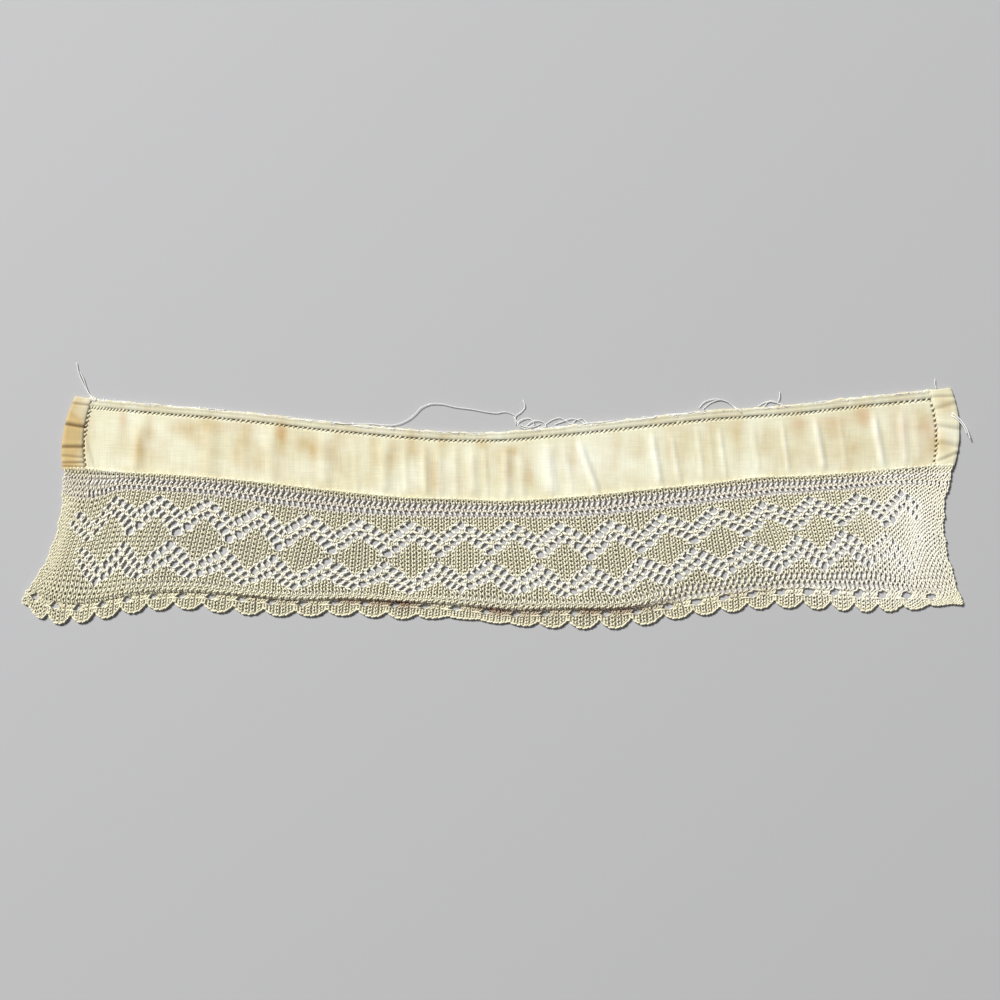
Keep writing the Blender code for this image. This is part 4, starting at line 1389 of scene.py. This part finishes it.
class TRIM_OT_hemstitch(Operator):
    """Ties the pulled threads of the hem lines into slanted bundles"""

    bl_idname = "trim.hemstitch"
    bl_label = "Work the hem-stitching"

    def execute(self, context):
        band = context.scene.trim_band
        colours = context.scene.trim_colours
        cotton = material_of("plain_cotton", plain_cotton, colours, "plain_cotton", 0.0)
        rng = np.random.default_rng(23)
        paths, radii = [], []
        rows = np.arange(LEFT_HEM_ROW + 0.3, RIGHT_HEM_ROW, band.stitch_pitch / ROW_WIDTH)
        steps = np.linspace(-1.0, 1.0, 5)
        waist = np.array([0.85, 1.0, 1.0, 1.0, 0.85])
        rise = 0.42 * MM + 0.20 * MM * (0.5 + 0.5 * steps) + 0.08 * MM * (1.0 - steps ** 2)
        for row in rows:
            here = row + rng.normal(0.0, 0.03)
            shares = 0.5 * (HEM_LINE_LOW + HEM_LINE_HIGH) + steps * 0.022
            x, y = band_points(here + 0.20 * steps, shares)
            paths.append(np.stack([x, y, rise], axis=-1))
            radii.append(rng.uniform(*BUNDLE_RADII) * MM * waist)
        for hem, outwards in ((LEFT_HEM_ROW, -1.0), (RIGHT_HEM_ROW, 1.0)):
            middle = hem - outwards * SIDE_LINE_ROWS * 0.5
            for share in np.arange(0.03, HEM_LINE_LOW, SIDE_BUNDLE_PITCH):
                x, y = band_points(middle + outwards * 0.30 * steps, share + 0.010 * outwards * steps)
                paths.append(np.stack([x, y, rise + 0.14 * MM], axis=-1))
                radii.append(rng.uniform(*SIDE_BUNDLE_RADII) * MM * waist)
        points = np.concatenate(paths)
        marks = cloth_marks(points[:, 0], points[:, 1])
        bundles = make_tubes("band_hemstitch", paths, radii, 6, marks, BUNDLE_SQUASH)
        bundles.data.materials.append(cotton)
        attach(bundles, "root")
        return {"FINISHED"}


class TRIM_OT_frayed_edge(Operator):
    """Frays the cut edge of the heading"""

    bl_idname = "trim.frayed_edge"
    bl_label = "Fray the heading"

    def execute(self, context):
        colours = context.scene.trim_colours
        thread = material_of("sewing_cotton", sewing_cotton, colours)
        rng = np.random.default_rng(31)
        paths, radii = [], []
        for row in np.arange(LEFT_HEM_ROW - 1.0, RIGHT_HEM_ROW + 1.0, FRINGE_PITCH):
            here = row + rng.uniform(-0.06, 0.06)
            reach = rng.uniform(0.010, 0.026) * (1.7 if rng.uniform() < 0.04 else 1.0)
            bend = rng.normal(0.0, 0.35)
            steps = np.linspace(0.0, 1.0, 4)
            x, y = band_points(here + bend * steps ** 2, 0.965 + reach * steps * 1.5)
            z = rng.uniform(0.35, 1.10) * MM + rng.normal(0.0, 0.14) * MM * steps
            paths.append(np.stack([x, y, np.maximum(z, 0.14 * MM)], axis=-1))
            radii.append(rng.uniform(*FRINGE_RADII) * MM * np.array([1.0, 1.0, 0.8, 0.5]))
        for start in np.arange(LEFT_HEM_ROW, RIGHT_HEM_ROW - 4.0, LONG_FRAY_PITCH):
            along = start + np.linspace(0.0, rng.uniform(3.0, 7.0), 14)
            along = along[along < RIGHT_HEM_ROW + 0.5]
            drift = 0.006 * np.sin(along * rng.uniform(1.5, 3.5) + rng.uniform(0.0, 6.0))
            x, y = band_points(along, rng.uniform(0.972, 1.004) + drift)
            z = rng.uniform(0.55, 1.25) * MM + 0.1 * MM * np.sin(along * 3.0)
            paths.append(np.stack([x, y, z], axis=-1))
            radii.append(np.full(len(along), rng.uniform(*LONG_FRAY_RADII) * MM))
        fringe = make_tubes("band_fray", paths, radii, 3)
        fringe.data.materials.append(thread)
        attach(fringe, "root")
        return {"FINISHED"}


def smooth_path(points, per_span):
    """A curved path through listed points."""
    points = np.asarray(points, dtype=float)
    knots = np.concatenate([[0.0], np.cumsum(np.linalg.norm(np.diff(points, axis=0), axis=1))])
    places = np.linspace(0.0, knots[-1], per_span * (len(points) - 1) + 1)
    return hermite(places, knots, points)


class TRIM_OT_loose_threads(Operator):
    """Lays the ends and loops of the old sewing thread"""

    bl_idname = "trim.loose_threads"
    bl_label = "Lay the loose threads"

    def execute(self, context):
        band = context.scene.trim_band
        thread = material_of("sewing_cotton", sewing_cotton, context.scene.trim_colours)
        table = np.array(SECTIONS)
        paths, radii = [], []
        for n, points in enumerate(THREADS):
            line = smooth_path(points, 6)
            head = np.interp(line[:, 0], table[:, 1], table[:, 2]) - MIDDLE_Y / MM
            over = 1.0 - smooth_step(line[:, 1] - head, -0.6, 1.4)
            hop = 0.35 * np.sin(np.linspace(0.0, math.pi, len(line))) + 0.1 * (n % 3)
            z = 0.2 + 1.15 * over + hop
            paths.append(np.column_stack([line, z]) * MM)
            doubled = DOUBLED_WIDTH if n >= len(THREADS) - DOUBLED_THREADS else 1.0
            radii.append(np.full(len(line), doubled * band.thread_width / 2.0))
        loose = make_tubes("sewing_threads", paths, radii, 4)
        loose.data.materials.append(thread)
        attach(loose, "root")
        return {"FINISHED"}


def paper_floor():
    """Plain pale paper, matt, with a faint tooth."""
    material, tree = start_material("pale_paper")
    place = add_node(tree, "ShaderNodeTexCoord", {}).outputs["Object"]
    tooth = add_node(tree, "ShaderNodeTexNoise", {"Vector": place, "Scale": 900.0, "Detail": 2.0})
    bump = add_node(tree, "ShaderNodeBump", {
        "Height": tooth.outputs[0], "Strength": 0.05, "Distance": 0.1 * MM})
    shader = add_node(tree, "ShaderNodeBsdfPrincipled", {
        "Base Color": rgba(linear("#B6B6B7")), "Normal": bump.outputs[0], "Roughness": 0.9})
    add_node(tree, "ShaderNodeOutputMaterial", {"Surface": shader.outputs[0]})
    return material


class TRIM_OT_stage(Operator):
    """Sets the floor, the soft lights and the camera"""

    bl_idname = "trim.stage"
    bl_label = "Set the stage"

    def execute(self, context):
        bpy.ops.object.select_all(action="DESELECT")
        bpy.ops.mesh.primitive_plane_add(size=6.0, location=(0.0, 0.0, 0.0))
        floor = context.active_object
        floor.name = "floor"
        floor.data.materials.append(paper_floor())
        for name, place, size, energy in (
            ("key_light", (-2.88, 3.12, 3.45), 1.30, 470.0),
            ("fill_light", (0.5, -0.5, 1.1), 1.2, 1.2),
        ):
            bpy.ops.object.light_add(type="AREA", location=place)
            lamp = context.active_object
            lamp.name = name
            lamp.data.size = size
            lamp.data.energy = energy
            aim = -lamp.location
            lamp.rotation_euler = aim.to_track_quat("-Z", "Y").to_euler()
        world = bpy.data.worlds.new("soft_room")
        world.use_nodes = True
        world.node_tree.nodes["Background"].inputs["Color"].default_value = (0.97, 0.98, 1.0, 1.0)
        world.node_tree.nodes["Background"].inputs["Strength"].default_value = 0.085
        context.scene.world = world
        context.scene.view_settings.view_transform = "Standard"
        # The middle of the photo's view lies a little right of the trim's middle, and above it
        lens, sensor, view_width = 50.0, 36.0, 0.42
        distance = view_width * lens / sensor
        bpy.ops.object.camera_add(location=(3.12 * MM, 3.22 * MM, distance), rotation=(0.0, 0.0, 0.0))
        camera = context.active_object
        camera.name = "camera"
        camera.data.lens = lens
        camera.data.sensor_width = sensor
        camera.data.clip_start = 0.01
        context.scene.camera = camera
        return {"FINISHED"}


class TRIM_PT_sidebar(Panel):
    """Lists the steps of the trim in the order in which they are done"""

    bl_label = "Lace trim"
    bl_idname = "TRIM_PT_sidebar"
    bl_space_type = "VIEW_3D"
    bl_region_type = "UI"
    bl_category = "Lace trim"

    def draw(self, context):
        for step in STEPS:
            self.layout.operator(step.bl_idname)
        for group in ("trim_lace", "trim_band", "trim_colours"):
            settings = getattr(context.scene, group)
            box = self.layout.box()
            for name in settings.__annotations__:
                box.prop(settings, name)


STEPS = [
    TRIM_OT_knit_lace,
    TRIM_OT_cloth_band,
    TRIM_OT_turned_hems,
    TRIM_OT_hemstitch,
    TRIM_OT_frayed_edge,
    TRIM_OT_loose_threads,
    TRIM_OT_stage,
]
CLASSES = [LaceSettings, BandSettings, ColourSettings, *STEPS, TRIM_PT_sidebar]


def register():
    for item in CLASSES:
        bpy.utils.register_class(item)
    bpy.types.Scene.trim_lace = PointerProperty(type=LaceSettings)
    bpy.types.Scene.trim_band = PointerProperty(type=BandSettings)
    bpy.types.Scene.trim_colours = PointerProperty(type=ColourSettings)


def unregister():
    del bpy.types.Scene.trim_colours
    del bpy.types.Scene.trim_band
    del bpy.types.Scene.trim_lace
    for item in reversed(CLASSES):
        bpy.utils.unregister_class(item)


def main():
    register()
    bpy.ops.trim.knit_lace()
    bpy.ops.trim.cloth_band()
    bpy.ops.trim.turned_hems()
    bpy.ops.trim.hemstitch()
    bpy.ops.trim.frayed_edge()
    bpy.ops.trim.loose_threads()
    bpy.ops.trim.stage()


if __name__ == "__main__":
    main()
